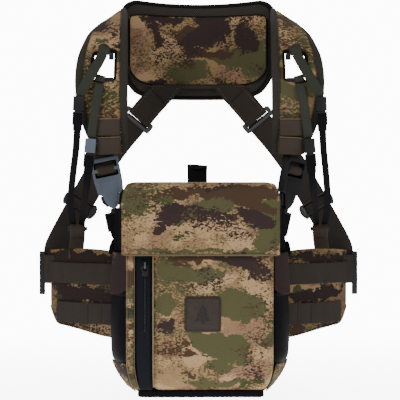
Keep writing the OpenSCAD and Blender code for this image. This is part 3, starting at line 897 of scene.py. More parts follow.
lamp("key", (-1.3, -1.7, 1.5), (0, 0, 0.1), (1.2, 1.2), 22)
lamp("fill", (1.5, -1.8, 0.9), (0, 0, 0.1), (1.4, 1.4), 13)
lamp("rim", (0, 1.2, 1.6), (0, 0, 0.2), (1.6, 0.6), 8)
world = bpy.data.worlds.new("studio")
bpy.context.scene.world = world
world.use_nodes = True
background = world.node_tree.nodes["Background"]
background.inputs["Color"].default_value = (1, 1, 1, 1)
rays = world.node_tree.nodes.new("ShaderNodeLightPath")
level = world.node_tree.nodes.new("ShaderNodeMath")
level.operation = "MULTIPLY_ADD"
level.inputs[1].default_value = SEEN_WHITE
level.inputs[2].default_value = LIGHT_LEVEL
world.node_tree.links.new(rays.outputs["Is Camera Ray"], level.inputs[0])
world.node_tree.links.new(level.outputs[0], background.inputs["Strength"])

# ---------------------------------------------------------------- yoke over the shoulders


def on_yoke(x, z, r=YOKE_R):
    """Point on the yoke's curve at this width and height."""
    return np.stack([x, YOKE_AXIS_Y + np.sqrt(r * r - x * x), z], -1)


def yoke_top(x):
    """Height of the yoke's top edge: a shallow dip between round corners."""
    edge = np.maximum(abs(x) - 78, 0)
    dip = 2.8 * np.maximum(1 - (x / 80) ** 2, 0)
    return 359.3 - dip - (CORNER - np.sqrt(CORNER ** 2 - np.minimum(edge, CORNER - 0.1) ** 2))


def yoke_low(x):
    """Height of the yoke's low edge, which rises towards both ends."""
    return np.interp(abs(x), [0, 62, 80, 90, YOKE_HALF], [234, 234, 241, 254, 272])


def yoke_panel(half, top, low, columns, rows, r):
    """Grid over the yoke between two edges, closer near the border, with u and v from -1 to 1."""
    x = half * np.sin(np.linspace(-math.pi / 2, math.pi / 2, columns))[None, :] * 0.35 \
        + half * np.linspace(-1, 1, columns)[None, :] * 0.65
    v = np.linspace(1, -1, rows)[:, None]
    v = 0.35 * np.sin(v * math.pi / 2) + 0.65 * v
    z = (top(x) + low(x)) / 2 + v * (top(x) - low(x)) / 2
    x, v = np.broadcast_to(x, z.shape), np.broadcast_to(v, z.shape)
    return on_yoke(x, z, r), x / half, v


grid, u, v = yoke_panel(YOKE_HALF, yoke_top, yoke_low, 53, 27, YOKE_R)
swell = crown(u, v, 6)
yoke = slab("yoke_pad_mesh", grid, 1.6 + 3.4 * swell, -1.6 - 3.8 * swell, [MESH], nodes=["yoke_pad"])


def face_top(x):
    return 341.5 - 4 * (np.maximum(abs(x) - 72, 0) / 16.5) ** 2


def face_low(x):
    return np.interp(abs(x), [0, 62, 76, 84, 89], [251, 252, 256, 263, 272])


def sewn_face(p):
    """The yoke's face is sewn down where it lies on the pad."""
    return 1.0 if p[1] > YOKE_AXIS_Y + math.sqrt((YOKE_R - 5.9) ** 2 - min(abs(p[0]), 95) ** 2) else 0.0


grid, u, v = yoke_panel(FACE_HALF, face_top, face_low, 49, 23, FACE_R)
folds = wave(grid, 34, 2.0) * 0.5 * crown(u, v, 4)
face = slab("yoke_face_camo", grid, 0.3 + 1.5 * crown(u, v, 6) + folds, -1.4, [CAMO_YOKE],
            nodes=["yoke_face"])
puff(face, 3, 2.2, sewn_face)


def rim(x_half, top, low, r, n=56):
    """Points round the yoke's edge, clockwise from the top left."""
    x = np.linspace(-x_half, x_half, n)
    z_top, z_low = top(x), low(x)
    upper = on_yoke(x, z_top, r)
    lower = on_yoke(x[::-1], z_low[::-1], r)
    side = lambda xx, a, b: on_yoke(np.full(6, xx), np.linspace(a, b, 8)[1:-1], r)
    return np.vstack([upper, side(x_half, z_top[-1], z_low[-1]), lower, side(-x_half, z_low[0], z_top[0])])


def binding(name, path, out, width, thick, mat, closed=True, **how):
    """Ribbed tape folded over an edge: a flattened tube. out(point) points off the fabric's face."""
    p = np.array(path, float)
    n = len(p)
    if closed:
        run = unit(np.roll(p, -1, 0) - np.roll(p, 1, 0))
    else:
        run = unit(np.gradient(p, axis=0))
    off = np.array([unit(np.array(out(q), float)) for q in p])
    off = unit(off - run * (off * run).sum(1)[:, None])
    across = np.cross(run, off)
    ring = [(math.cos(t), math.sin(t)) for t in np.linspace(0, 2 * math.pi, 13)[:-1]]
    shape = [(math.copysign(abs(c) ** 0.55, c) * width / 2, math.copysign(abs(s) ** 0.75, s) * thick / 2)
             for c, s in ring]
    m = len(shape)
    verts = (p[:, None] + np.stack([across * a + off * b for a, b in shape], 1)).reshape(-1, 3)
    reach = lengths(p)
    uv = np.stack(np.broadcast_arrays(np.linspace(0, 2 * width, m)[None, :], reach[:, None]),
                  -1).reshape(-1, 2)
    return piece(name, verts, ring_walls(n, m, closed), [mat], uv=uv, **how)


to_axis = lambda q: (-q[0], YOKE_AXIS_Y - q[1], 0)
binding("yoke_binding", rim(95.5, lambda x: yoke_top(x) - 1.5, lambda x: yoke_low(x) + 1.5, YOKE_R),
        to_axis, 6, 8, BINDING_WEB)
binding("yoke_face_seam", rim(88, face_top, face_low, YOKE_R - 6.4), to_axis, 1.6, 1.8, BINDING_WEB)

# ---------------------------------------------------------------- shoulder straps
strap_rows = curve([[outer, inner] for inner, outer in STRAP_EDGES], 7)
HOLE_TOP = int(np.argmin(abs(strap_rows[20:, :, 2].mean(1) - SLOT_Z[1] - 1))) + 20
HOLE_LOW = int(np.argmin(abs(strap_rows[20:, :, 2].mean(1) - SLOT_Z[0] + 1))) + 20
HOLE_SHARES = (0.31, 0.76)
STRAP_COLUMNS = [0, 0.03, 0.08, 0.13, 0.155, 0.18, 0.24, HOLE_SHARES[0], 0.4, 0.5, 0.6, 0.68,
                 HOLE_SHARES[1], 0.81, 0.845, 0.87, 0.92, 0.97, 1]
HOLE_LEFT, HOLE_RIGHT = STRAP_COLUMNS.index(HOLE_SHARES[0]), STRAP_COLUMNS.index(HOLE_SHARES[1])
EDGING = (0.155, 0.845)


@both_sides
def shoulder_strap(end, mirror):
    """Padded strap with a camouflage face between mesh edges, and the lined slot through it."""
    grid = spread(strap_rows, STRAP_COLUMNS)
    n = len(grid)
    share = np.array(STRAP_COLUMNS)
    dome = np.where((share > EDGING[0]) & (share < EDGING[1]), 4.3, 3.3)
    dome[[0, -1]] = 0.8
    dome[[1, -2]] = 2.4
    for k, c in enumerate(STRAP_COLUMNS):
        if c in EDGING:
            dome[k] = 2.4
    front = np.tile(dome, (n, 1)) + 0.5 * wave(grid, 30, 4.0 if mirror else 1.0)
    front[[0, -1]] *= 0.5
    inside = lambda i, j: HOLE_TOP <= i < HOLE_LOW and HOLE_LEFT <= j < HOLE_RIGHT
    zone = lambda i, j, s: 0 if s == 0 and EDGING[0] <= STRAP_COLUMNS[j] < EDGING[1] else 1
    o = slab("shoulder_strap_" + end, grid, front, -np.tile(dome, (n, 1)) * 0.9, [CAMO_STRAP, MESH],
             zone=zone, hole=inside, nodes=["shoulder_strap_" + end], mirror=mirror)
    ring = [(i, HOLE_LEFT) for i in range(HOLE_TOP, HOLE_LOW)]
    ring += [(HOLE_LOW, j) for j in range(HOLE_LEFT, HOLE_RIGHT)]
    ring += [(i, HOLE_RIGHT) for i in range(HOLE_LOW, HOLE_TOP, -1)]
    ring += [(HOLE_TOP, j) for j in range(HOLE_RIGHT, HOLE_LEFT, -1)]
    edge = np.array([grid[i, j] for i, j in ring])
    binding("strap_slot_lining_" + end, edge, lambda q: FORWARD, 4.2, 9.4, LINING, mirror=mirror)
    for name, share in (("outer", 0.165), ("inner", 0.835)):
        path = spread(strap_rows, [share])[3:-1, 0] + normals(grid)[3:-1, 5] * 3.4
        stitches(f"strap_seam_{name}_{end}", path, DARK_THREAD, (-0.2, -1, 0.2), width=0.6, lift=0.35,
                 mirror=mirror)


# ---------------------------------------------------------------- webbing of the back and the yoke


def between(top, low):
    """A function that places points of a part that sits on the back webbing between two points."""
    top, low = np.array(top, float), np.array(low, float)
    up = unit(top - low)
    across = unit(np.cross(np.array(BACK_FACE), up))
    axes = np.stack([across, np.cross(up, across), up])
    return lambda points: (top + low) / 2 + np.array(points, float) @ axes


@both_sides
def glide_end(end, mirror):
    """Rounded moulded ends of a back glide, standing past the webbing's edges."""
    place = between(GLIDE_TOP, GLIDE_END)
    oval = lambda cx: [(cx + 4.6 * math.cos(t), 9.6 * math.sin(t))
                       for t in np.linspace(0, 2 * math.pi, 25)[:-1]]
    for name, cx in (("a", -18.4), ("b", 18.4)):
        plate(f"glide_end_{name}_{end}", [oval(cx)], -4.4, 4.4, 1.6, DARK_PLASTIC, place,
              body="back_glide_" + end, mirror=mirror)


@both_sides
def back_webbing(end, mirror):
    """The yoke's tab with its ring, and the strap from the ring through the glide to the wing."""
    tab = curve([(-36, 170.5, 256), (-46, 168.5, 243), (-58, 167, 230), (-68, 169, 218.5), RING_MIDDLE], 4)
    front = (0.25, -0.97, 0)
    ribbon("yoke_tab_" + end, cut_level(edges(tab, TAB_WEB, front), 252.5), BROWN, lift=1.2, mirror=mirror)
    ribbon("yoke_tab_fold_" + end, edges(tab[6:], TAB_WEB, front), BROWN, lift=3.0, mirror=mirror)
    for side in (0.12, 0.88):
        path = spread(cut_level(edges(tab[:-1], TAB_WEB, front), 249), [side])[:, 0] + np.array(front) * 4.1
        stitches(f"yoke_tab_seam_{'a' if side < 0.5 else 'b'}_{end}", path, THREAD, front, width=0.5,
                 every=4.6, mirror=mirror)
    path = curve([RING_MIDDLE] + BACK_PATH, 4)
    ribbon("back_strap_" + end, edges(path, BACK_WEB + 1, (0.25, -0.97, 0)), BROWN,
           nodes=["back_strap_" + end], mirror=mirror)
    ribbon("back_strap_fold_" + end, edges(path[:17], BACK_WEB - 1, (0.25, -0.97, 0)), BROWN, lift=-2.0,
           mirror=mirror)


top, low = (on_yoke(np.linspace(-46, 46, 21), np.full(21, z), YOKE_R - 8.4) for z in (253.0, 246.5))
grid = np.linspace(0, 1, 5)[:, None, None] * (low - top) + top
slab("yoke_low_band", grid, 0.7, -0.9, [BROWN], nodes=["yoke_tabs"])
stitches("yoke_band_seam", on_yoke(np.linspace(-68, 68, 40), np.full(40, 249.5), YOKE_R - 9.4), THREAD,
         FORWARD, length=1.6, every=3.6, width=0.7)
for node in ("back_glide_left", "back_glide_right"):
    soften(node, 1.0, DARK_PLASTIC)


@both_sides
def yoke_ring(end, mirror):
    """Flat moulded ring that joins the yoke's tab to the back strap."""
    place = between(YOKE_TAB_END, BACK_PATH[0])
    outer = rounded_ring([(-22, -7), (22, -7), (22, 7), (-22, 7)], 3.5)
    window = rounded_ring([(-16.5, -2.8), (16.5, -2.8), (16.5, 2.8), (-16.5, 2.8)], 1.2)
    plate("yoke_ring_" + end, [outer, window], -2.8, 2.8, 1.2, RING_GREY, place, nodes=["yoke_rings"],
          mirror=mirror)


# ---------------------------------------------------------------- loops and accessory straps


@both_sides
def strap_gear(end, mirror):
    """Loops, accessory straps, slot hook, lower straps and keeper web of one shoulder strap."""
    for k, (a, b) in enumerate((((-109, -15, 199), (-109, -15, 178)),
                                ((-108.5, -14.6, 177), (-107.5, -10.6, 156)))):
        path = [np.array(a) * (1 - t) + np.array(b) * t for t in np.linspace(0, 1, 8)]
        grid = spread(edges(path, LOOP_WEB, FORWARD), np.linspace(0, 1, 11))
        along = np.linspace(-1, 1, 8)[:, None]
        over = np.linspace(-1, 1, 11)[None, :]
        puffed = 1.6 * np.sqrt(np.maximum(1 - along ** 2 * 0.8, 0.1)) * (1 - 0.5 * abs(over) ** 6)
        slab(f"strap_loop_{'ab'[k]}_{end}", grid, puffed, -1.4, [BROWN_FLAT], mirror=mirror)
        top = spread(edges(path[:2], LOOP_WEB, FORWARD),
                     np.linspace(0.02, 0.98, 9))[0] + np.array([0, -1.3, -0.6])
        tube(f"strap_loop_edge_{'ab'[k]}_{end}", top, 0.55, THREAD, sides=6, mirror=mirror)
    for name, path, width in (("a", UPPER_A_PATH, 12), ("b", UPPER_B_PATH, 11)):
        ribbon(f"accessory_strap_{name}_{end}", edges(curve(path, 4), width, FORWARD), GREY,
               mirror=mirror)
        ribbon(f"accessory_fold_{name}_{end}", edges(curve(path, 4)[2:], width - 1, FORWARD), GREY,
               lift=-2, mirror=mirror)
    bar = rounded_ring([(-125.5, 242.6), (-102.5, 242.6), (-102.5, 248.4), (-125.5, 248.4)], 2.4)
    plate("slot_hook_" + end, [bar], -8.5, -3.5, 1.6, DARK_PLASTIC, lambda p: np.array(p, float),
          mirror=mirror)
    over_hook = curve([(-119, -10, 243), (-118.6, -10.6, 246.5), (-118.3, -8.5, 250), (-118, -5, 250.5)], 4)
    ribbon("accessory_loop_b_" + end, edges(over_hook, 12, (0, -1, 0.2)), GREY, mirror=mirror)
    over_edge = curve([(-116, -4, 276), (-115, -4.5, 281), (-114.5, -1, 285), (-114, 5, 283),
                       (-113.5, 6, 276)], 4)
    ribbon("accessory_loop_a_" + end, edges(over_edge, 13, (0.1, -1, 0.3)), GREY, mirror=mirror)
    for name, path, tilt in (("a", LOWER_A_PATH, TILT_A), ("b", LOWER_B_PATH, TILT_B)):
        strap = ribbon(f"lower_strap_{name}_{end}", edges(curve(path, 5), THIN_WEB, (-0.3, -0.95, 0)),
                       BLACK_WEB, thick=1.8, slot="grey_webbing", mirror=mirror,
                       nodes=["lower_straps_" + end])
        down = np.array(Matrix.Rotation(math.radians(tilt), 3, "Y")) @ np.array((0, 0, -1.0))
        shorten(strap, down)
    tab = curve([(-150, 61.2, 52), (-150, 56.6, 62), (-150, 55.8, 67), (-150, 59, 71), (-150, 64, 71.5),
                 (-150, 66.2, 67), (-150, 64, 60), (-150.5, 55, 48), (-151, 45.5, 38), (-151, 44, 30)], 4)
    ribbon("keeper_web_" + end, folded(tab, 19, np.array((-0.95, -0.31, 0))), BROWN_FLAT, thick=1.6,
           mirror=mirror)


@both_sides
def eye_wrap(end, mirror):
    """Webbing folded through a small plug's eye. It moves with the plug."""
    for name, place, tilt in (("a", BUCKLE_A, TILT_A), ("b", BUCKLE_B, TILT_B)):
        turn = np.array(Matrix.Rotation(math.radians(tilt), 3, "Y"))
        left = turn @ np.array((-1.0, 0, 0))
        path = np.array([(0, -2.6, -24), (0, -2.9, -17), (0, -2.3, -13), (0, -1.6, -4.5), (0, 0, -3.2),
                         (0, 1.6, -4.5), (0, 2.3, -13), (0, 2.9, -17), (0, 2.6, -24)])
        path = path @ turn.T + np.array(place)
        ribbon(f"eye_wrap_{name}_{end}", folded(curve(path, 3), 10.4, left), BLACK_WEB, thick=1.3,
               body=f"small_plug_{end}_{name}", slot="grey_webbing", mirror=mirror)


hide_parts("accessory_straps")
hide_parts("strap_loops")
for node in NODES:
    if node.startswith("small_") or node in ("strap_hooks", "keeper_bars", "wing_glides"):
        sockets = node == "small_sockets"
        # The left small socket below z 185 is given the pale plastic. This is painted sheen on plastic that
        # is black like the rest.
        soften(node, 0.8, DARK_PLASTIC, SHEEN_PLASTIC, lambda p: sockets and p.x < 0 and p.z < 185)

# ---------------------------------------------------------------- large buckles


def at_buckle(points, roll):
    """From the buckle's own frame to the left buckle's place."""
    turn = Matrix.Rotation(math.radians(-BUCKLE_TILT), 3, "Y") @ Matrix.Rotation(math.radians(roll), 3, "Z")
    return np.array(BUCKLE_TIP) + np.array(points, float) @ np.array(turn).T


SOCKET = [(-17, 62), (-17, 34), (-15.5, 21), (-14.5, 18.4), (-10.5, 17.4), (-9.6, 12), (-5, 2), (0, -1)]
SOCKET_WINDOWS = [[(-14, 49.5), (14, 49.5), (14, 57.5), (-14, 57.5)],
                  [(-14, 39), (14, 39), (14, 45.5), (-14, 45.5)]]


@both_sides
def big_buckle(end, mirror):
    """Socket, webbing, tongue, plug and anchor strap of a large buckle. The right one is rolled over."""
    roll = BUCKLE_ROLL if mirror else 0
    place = lambda points: at_buckle(points, roll)
    start = np.array(BUCKLE_TIP)
    front = place([FORWARD])[0] - start
    left = place([(-1, 0, 0)])[0] - start
    bar = place([(0, 6.8, 66), (0, 4.6, 60), (0, 0.5, 53.4), (0, -3.4, 51.4), (0, -4.6, 47.5),
                 (0, -3.4, 43.6), (0, 0, 42), (0, 3.8, 43.5), (0, 5.4, 50), (0, 7, 66)])
    ribbon("buckle_webbing_" + end, folded(curve(bar, 4), 24.5, left), BROWN_FLAT, mirror=mirror)
    lining = place([(0, 3.2, 60), (0, 2.6, 54), (0, 2.2, 48), (0, 2.6, 42), (0, 3.4, 37)])
    ribbon("buckle_window_web_" + end, folded(curve(lining, 2), 30, left), BLACK_WEB, mirror=mirror)
    top = [(-110, 1.5, 172), (-110, 2, 164)] if not mirror else [(-112, 2, 172), (-111, 2.5, 164)]
    tongue = np.vstack([top, place([(0, 6.4, 70), (0, 6.6, 56), (0, 6, 44)])])
    pair = turning(tongue, [27] * len(tongue), FORWARD, front, np.linspace(0, 1, len(tongue)))
    ribbon("strap_tongue_" + end, curve(pair, 4), BROWN_FLAT, mirror=mirror)
    # The left buckle's plates are given the pale blue-grey plastic, as painted sheen where they face the
    # light. The rolled right buckle keeps the plain black plastic.
    colour = BUCKLE if mirror else SHEEN_PLASTIC
    ring = rounded_ring(SOCKET + [(-x, z) for x, z in SOCKET[-2::-1]], 1.6)
    windows = [rounded_ring(w, 1.2) for w in SOCKET_WINDOWS]
    plate("socket_front_" + end, [ring] + windows, -5.2, -3.3, 0.6, colour, place,
          nodes=["buckle_socket_" + end], mirror=mirror)
    plate("socket_back_" + end, [ring] + windows, 3.3, 5.1, 0.6, colour, place, mirror=mirror)
    core = rounded_ring([(x * 0.985, z) for x, z in SOCKET[:5]]
                        + [(-x * 0.985, z) for x, z in SOCKET[4::-1]], 1.2)
    wide = [rounded_ring([(x * 1.01, z) for x, z in w], 1.0) for w in SOCKET_WINDOWS]
    plate("socket_body_" + end, [core] + wide, -3.5, 3.5, 0.3, BUCKLE, place, mirror=mirror)
    panel = rounded_ring([(-11.6, 35), (-8.6, 19), (-6.5, 10), (-2.6, 3.2), (2.6, 3.2), (6.5, 10),
                          (8.6, 19), (11.6, 35)], 2.0)
    plate("socket_panel_" + end, [panel], -5.8, -4.9, 0.4, colour, place, mirror=mirror)
    soften("buckle_plug_" + end, 0.9, DARK_PLASTIC)
    wrap = place([(0, 3.4, -34), (0, 3.9, -28), (0, 3.6, -20), (0, 2.4, -10), (0, 0, -7.4), (0, -2.4, -10),
                  (0, -3.6, -20), (0, -3.9, -28), (0, -3.4, -33)])
    ribbon("anchor_wrap_" + end, folded(curve(wrap, 3), 20.9, left), BLACK_WEB, body="plug_" + end,
           mirror=mirror)
    down = np.vstack([place([(0, 0, -24), (0, 0, -34), (0, 0, -43)]),
                      [(-98.5, 3, 49), (-101, -3.2, 43), (-101.5, -4, 36.5)]])
    pair = turning(down, (19, 19, 19, 17.5, 16, 15), front, FORWARD, (0, 0, 0.2, 0.7, 1, 1))
    strap = ribbon("anchor_strap_" + end, curve(pair, 5), BLACK_WEB, thick=3,
                   nodes=["anchor_strap_" + end], mirror=mirror)
    shorten(strap, place([(0, 0, -1)])[0] - start)


for node in NODES:
    if node.startswith("release_arm"):
        soften(node, 0.5, BUCKLE)
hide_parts("strap_tongues")
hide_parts("buckle_noses")

# ---------------------------------------------------------------- belt wings
wing_line = curve([[(x, y, top), (x, y, low)] for (x, y), top, low in zip(WING_PATH, WING_TOPS, WING_LOWS)],
                  5)[::-1]
# length of a cell of the wing's webbing, and the heights of the points across a row
CELL = 20
ROW_LEVELS = (12.7, 12.2, 9, 4.5, 0, -4.5, -9, -12.2, -12.7)


@both_sides
def belt_wing(end, mirror):
    """Padded wing with a mesh back and two rows of webbing, tacked down at every cell."""
    v = np.linspace(0, 1, 25)[:, None, None]
    grid = wing_line[None, :, 0] * (1 - v) + wing_line[None, :, 1] * v
    n, m = grid.shape[:2]
    uu = np.broadcast_to(np.linspace(-1, 1, m)[None, :], (n, m))
    vv = np.broadcast_to(np.linspace(1, -1, n)[:, None], (n, m))
    swell = crown(uu, vv, 8)
    o = slab("belt_wing_" + end, grid, 1 + 2.4 * swell + 0.5 * wave(grid, 26, 3.0) * swell, -1 - 3 * swell,
             [SHADED_CAMO_WING, MESH], zone=lambda i, j, s: 1 if s == 1 else 0, nodes=["belt_wing_" + end],
             mirror=mirror)
    for name, z, cut in (("upper", 13, 0), ("lower", -35, 6)):
        line = wing_line[cut:, 0] * [1, 1, 0]
        out = normals(grid)[n // 2, cut:]
        reach = lengths(line)
        arch = 3.6 + 1.4 * np.sqrt(np.abs(np.sin(math.pi * reach / CELL)))
        row = np.stack([line + out * arch[:, None] + [0, 0, z + dz] for dz in ROW_LEVELS])
        slab(f"wing_row_{name}_{end}", row, 0.8, -0.8, [BROWN], mirror=mirror)
        for b in range(1, int(reach[-1] / CELL) + 1):
            here, aim = sample(b * CELL, reach, line + out * 4.6), sample(b * CELL, reach, out)
            bar = [here + [0, 0, z + dz] for dz in (11.5, 0, -11.5)]
            stitches(f"wing_tack_{name}_{b}_{end}", bar, DARK_THREAD, aim, length=1.6, every=2.0, width=1.3,
                     lift=0.5, mirror=mirror)
    for name, k, inset in (("top", 0, -1.5), ("low", 1, 1.5)):
        edge = wing_line[:, k] + [0, 0, inset]
        binding(f"wing_binding_{name}_{end}", edge, lambda q: (-0.5, -0.8, 0), 3.2, 4.6, SHADED_CAMO_WING,
                closed=False, mirror=mirror)


@both_sides
def wing_end(end, mirror):
    """Webbing that runs on from the upper row, through the glide at the wing's edge, and back."""
    path = curve(WING_END_PATH, 4)[::-1]
    grid = np.array([[(x, y, z) for x, y in path] for z in np.linspace(34, -2, 9)])
    slab("wing_strap_end_" + end, grid, 0.8, -0.8, [BROWN], mirror=mirror)


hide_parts("wing_webbing")

# ---------------------------------------------------------------- case


def trapezoid(front, back, y0, y1, radius, inset=0.0, per=9):
    """Closed outline of the case seen from above, with rounded corners."""
    corners = np.array([(-front + inset, y0 + inset), (front - inset, y0 + inset),
                        (back - inset, y1 - inset), (-back + inset, y1 - inset)], float)
    out = []
    for k in range(4):
        a, b, c = corners[k - 1], corners[k], corners[(k + 1) % 4]
        start, end = b + unit(a - b) * radius, b + unit(c - b) * radius
        for t in (0, 0.25, 0.5, 0.75, 1):
            out.append((1 - t) ** 2 * start + 2 * t * (1 - t) * b + t * t * end)
        stop = c + unit(b - c) * radius
        for t in np.linspace(0, 1, per + 1)[1:-1]:
            out.append(end * (1 - t) + stop * t)
    return np.array(out)


def tuck(p):
    """The case narrows near its base."""
    x, z = p[..., 0], p[..., 2]
    fall = np.clip((-85 - z) / 35, 0, 1) ** 1.8
    return np.stack([x - np.sign(x) * 10 * fall * np.maximum(0, (abs(x) - 52) / 31), p[..., 1], z], -1)


OUTER_LEVELS = [(-120, 3.6), (-119, 2), (-116, 0.6), (-100, 0), (-60, 0), (-20, 0), (20, 0), (60, 0),
                (92, 0), (100, 0.48), (107, 1.2), (113, 2)]
INNER_LEVELS = [(114, 2.2), (110, 3.6), (92, 4), (20, 4), (-60, 4), (-112, 4), (-116, 8)]
SHOULDER_Z, SHOULDER_RISE = 92, 22


def case_shell():
    """The stiff shell and its lining: rings at each height and inset, up the outside and down the inside."""
    rings = []
    for z, inset in OUTER_LEVELS + INNER_LEVELS:
        share = max(0, (z - SHOULDER_Z) / SHOULDER_RISE)
        ring = trapezoid(CASE_FRONT - share, CASE_BACK - 15 * share, SHELL_FRONT, SHELL_BACK, 9, inset)
        rings.append(np.column_stack([ring, np.full(len(ring), z)]))
    n = len(rings[0])
    index = [0 if k < len(OUTER_LEVELS) - 1 else 1 for k in range(len(rings) - 1) for _ in range(n)]
    piece("case_shell", np.vstack(rings), ring_walls(len(rings), n), [CAMO_SIDE, LINING],
          nodes=["main_shell"], index=index + [0, 1], shape=tuck)


case_shell()

grid, u, v = panel((-97, -120), (97, 117), 12, 41, 49, BACK_Y)
quilt = np.minimum(1, abs(np.sin(math.pi * (grid[..., 0] + 97) / 64.67)) * 2.4) ** 0.7 * crown(u, v, 10)
back = slab("back_panel_pad", grid, 3.4 * crown(u, v, 10), -1 - 3.6 * quilt, [BLACK, MESH],
            zone=lambda i, j, s: 0 if s == 0 else 1, slot="mesh_fabric", nodes=["back_panel"], shape=tuck)


def pillow(u, v, power=12):
    """Like crown, with a flatter middle and steeper sides."""
    return np.sqrt(np.maximum((1 - abs(u) ** power) * (1 - abs(v) ** power), 0))


grid, u, v = panel((POCKET_LEFT, POCKET_LOW), (CASE_FRONT + 0.5, POCKET_TOP), 9, 45, 51, POCKET_Y)
front = 1.0 + 6.2 * pillow(u, v) + 1.3 * crown(u, v, 3) + 0.55 * wave(grid, 30, 5.0) * crown(u, v, 6)
pocket = slab("front_pocket_pad", grid, front, -6.6 * pillow(u, v, 20) - 0.6, [CAMO_POCKET],
              nodes=["front_pocket"], shape=tuck)
puff(pocket, 2.5, 2.0, lambda p: 1.0 if p[1] > -92.5 or (-22 < p[0] < 26 and -52 < p[2] < -5) else 0.0)

grid, u, v = panel((STRIP_LEFT, POCKET_LOW), (STRIP_RIGHT, POCKET_TOP), 3, 9, 45, STRIP_Y)
slab("pocket_edge_strip", grid, 1 + 7 * pillow(u, v, 6), -5.5, [CAMO_LID], nodes=["pocket_edge"],
     shape=tuck)
for k, px in enumerate((-84.6, -76.2)):
    tube(f"strip_edge_{k}", [(px, -93.6, zz) for zz in np.linspace(40, -113, 30)], 0.5, HEM, sides=6,
         shape=tuck)

# ---------------------------------------------------------------- zip
tape_x = [-75.8, -74.8, -72, -69, -66.8, -65.5, -64.9, -63.1, -62.5, -61.4, -60, -58.6, -57.2, -56.2]
open_lift = np.array([0, 1.4, 1.7, 2.2, 3.0, 2.9, 1.2, 1.2, 2.9, 3.0, 2.4, 1.9, 1.6, 0])
flat_lift = np.array([0, 1.6, 2.1, 2.3, 2.4, 2.4, 2.4, 2.4, 2.4, 2.4, 2.3, 2.1, 1.6, 0])
zz = np.array([50, 49.2] + list(np.linspace(46, -48, 24))
              + [-50, -51, -52, -56, -62, -80, -100, -112, -115.4, -116])
closed = np.interp(zz, [-53, -49], [1, 0])[:, None]
lift = open_lift * (1 - closed) + flat_lift * closed
lift[[0, -1]] = 0
grid = np.stack(np.broadcast_arrays(np.array(tape_x)[None, :], TAPE_Y, zz[:, None]), -1).astype(float)
slab("zip_tape_band", grid, lift, -6, [ZIP_BAND], nodes=["zip_tape"], shape=tuck)
turns = 62
t = np.linspace(0, turns, turns * 8 + 1)
coil = np.stack([ZIP_X + 0.85 * np.cos(2 * math.pi * t), -91.6 - 0.75 * np.sin(2 * math.pi * t),
                 48 - t * 98 / turns], -1)
tube("zip_coil", coil, 0.38, ZIP_COIL, sides=5, nodes=["zip_teeth"])
arc = [(ZIP_X - 1.5 + 6 * math.cos(a), -92.6, -55 + 7 * math.sin(a)) for a in np.linspace(0, math.pi, 16)]
tube("zip_garage_edge", arc, 0.45, GREY_EDGE, sides=6)
tube("pocket_piping_cord", [(-54.8, -94.6 - 0.3 * math.sin(z / 20), z) for z in np.linspace(48, -112, 40)],
     0.95, PIPING, sides=8, nodes=["pocket_piping"], shape=tuck)
stitches("pocket_side_seam", [(-50.6, -96.1, z) for z in np.linspace(40, -110, 30)], THREAD, FORWARD,
         length=1.7, every=3.6, width=0.6, lift=0.45)
# The slider's front faces take the pale steel and the rest takes the dark gunmetal: the pale front is a
# painted highlight.
soften("zip_slider", 0.7, GUNMETAL, STEEL, lambda p: p.y < TAPE_Y - 4.3)
soften("zip_pull", 0.8, DARK_PLASTIC)

# ---------------------------------------------------------------- badge with a plain pine-tree mark
grid, u, v = panel((BADGE_X - BADGE_HALF_X, BADGE_Z - BADGE_HALF_Z),
                   (BADGE_X + BADGE_HALF_X, BADGE_Z + BADGE_HALF_Z), 4, 27, 27, BADGE_Y)
frame_line = np.exp(-((np.maximum(abs(u), abs(v)) - 0.72) / 0.045) ** 2)
slab("badge_leather_patch", grid, pillow(u, v, 20) + 0.2 - 0.45 * frame_line, -1.6, [PATCH],
     nodes=["badge_patch"])
rim_path = [(BADGE_X + 18.6 * a, -98.0, BADGE_Z + 18.1 * b) for a, b in
            [(-1, 1), (-0.3, 1), (0.3, 1), (1, 1), (1, 0), (1, -1), (0, -1), (-1, -1), (-1, 0), (-1, 1)]]
stitches("badge_seam", rim_path, DARK_THREAD, FORWARD, length=1.6, every=2.7, width=0.8, lift=0.4)
tree = [(0, 11), (4.6, 4.2), (2.3, 4.2), (6.6, -1.4), (3.4, -1.4), (8.6, -7.6), (1.4, -7.6), (1.4, -11),
        (-1.4, -11), (-1.4, -7.6), (-8.6, -7.6), (-3.4, -1.4), (-6.6, -1.4), (-2.3, 4.2), (-4.6, 4.2)]
tree_verts = [(BADGE_X + a, y, BADGE_Z + b) for y in (-98.75, -97.6) for a, b in tree]
k = len(tree)
tree_faces = [tuple(range(k)), tuple(reversed(range(k, 2 * k)))]
tree_faces += [(i, k + i, k + (i + 1) % k, (i + 1) % k) for i in range(k)]
mark = piece("badge_mark", tree_verts, tree_faces, [PATCH_MARK], smooth=False, subdivide=0)
soft_edge = mark.modifiers.new("edges", "BEVEL")
soft_edge.width, soft_edge.segments = 0.35 * MM, 2

# ---------------------------------------------------------------- sides of the case


def on_side(points):
    """From the left wall's own frame to its place."""
    p = np.array(points, float)
    c, s = math.cos(WALL_ANGLE), math.sin(WALL_ANGLE)
    x, y, z = p[..., 0], p[..., 1], p[..., 2]
    return np.stack([x * c - y * s, x * s + y * c, z], -1) + np.array(WALL_MID)


def side_grid(y_half, top, low, out, columns=21, rows=19):
    """Grid over the left wall, rows down and columns to the front. out(u, v) is how far it stands off."""
    u, v = np.meshgrid(np.linspace(1, -1, columns), np.linspace(1, -1, rows))
    z = (top + low) / 2 + v * (top - low) / 2
    return on_side(np.stack([-out(u, v), u * y_half, z], -1)), u, v


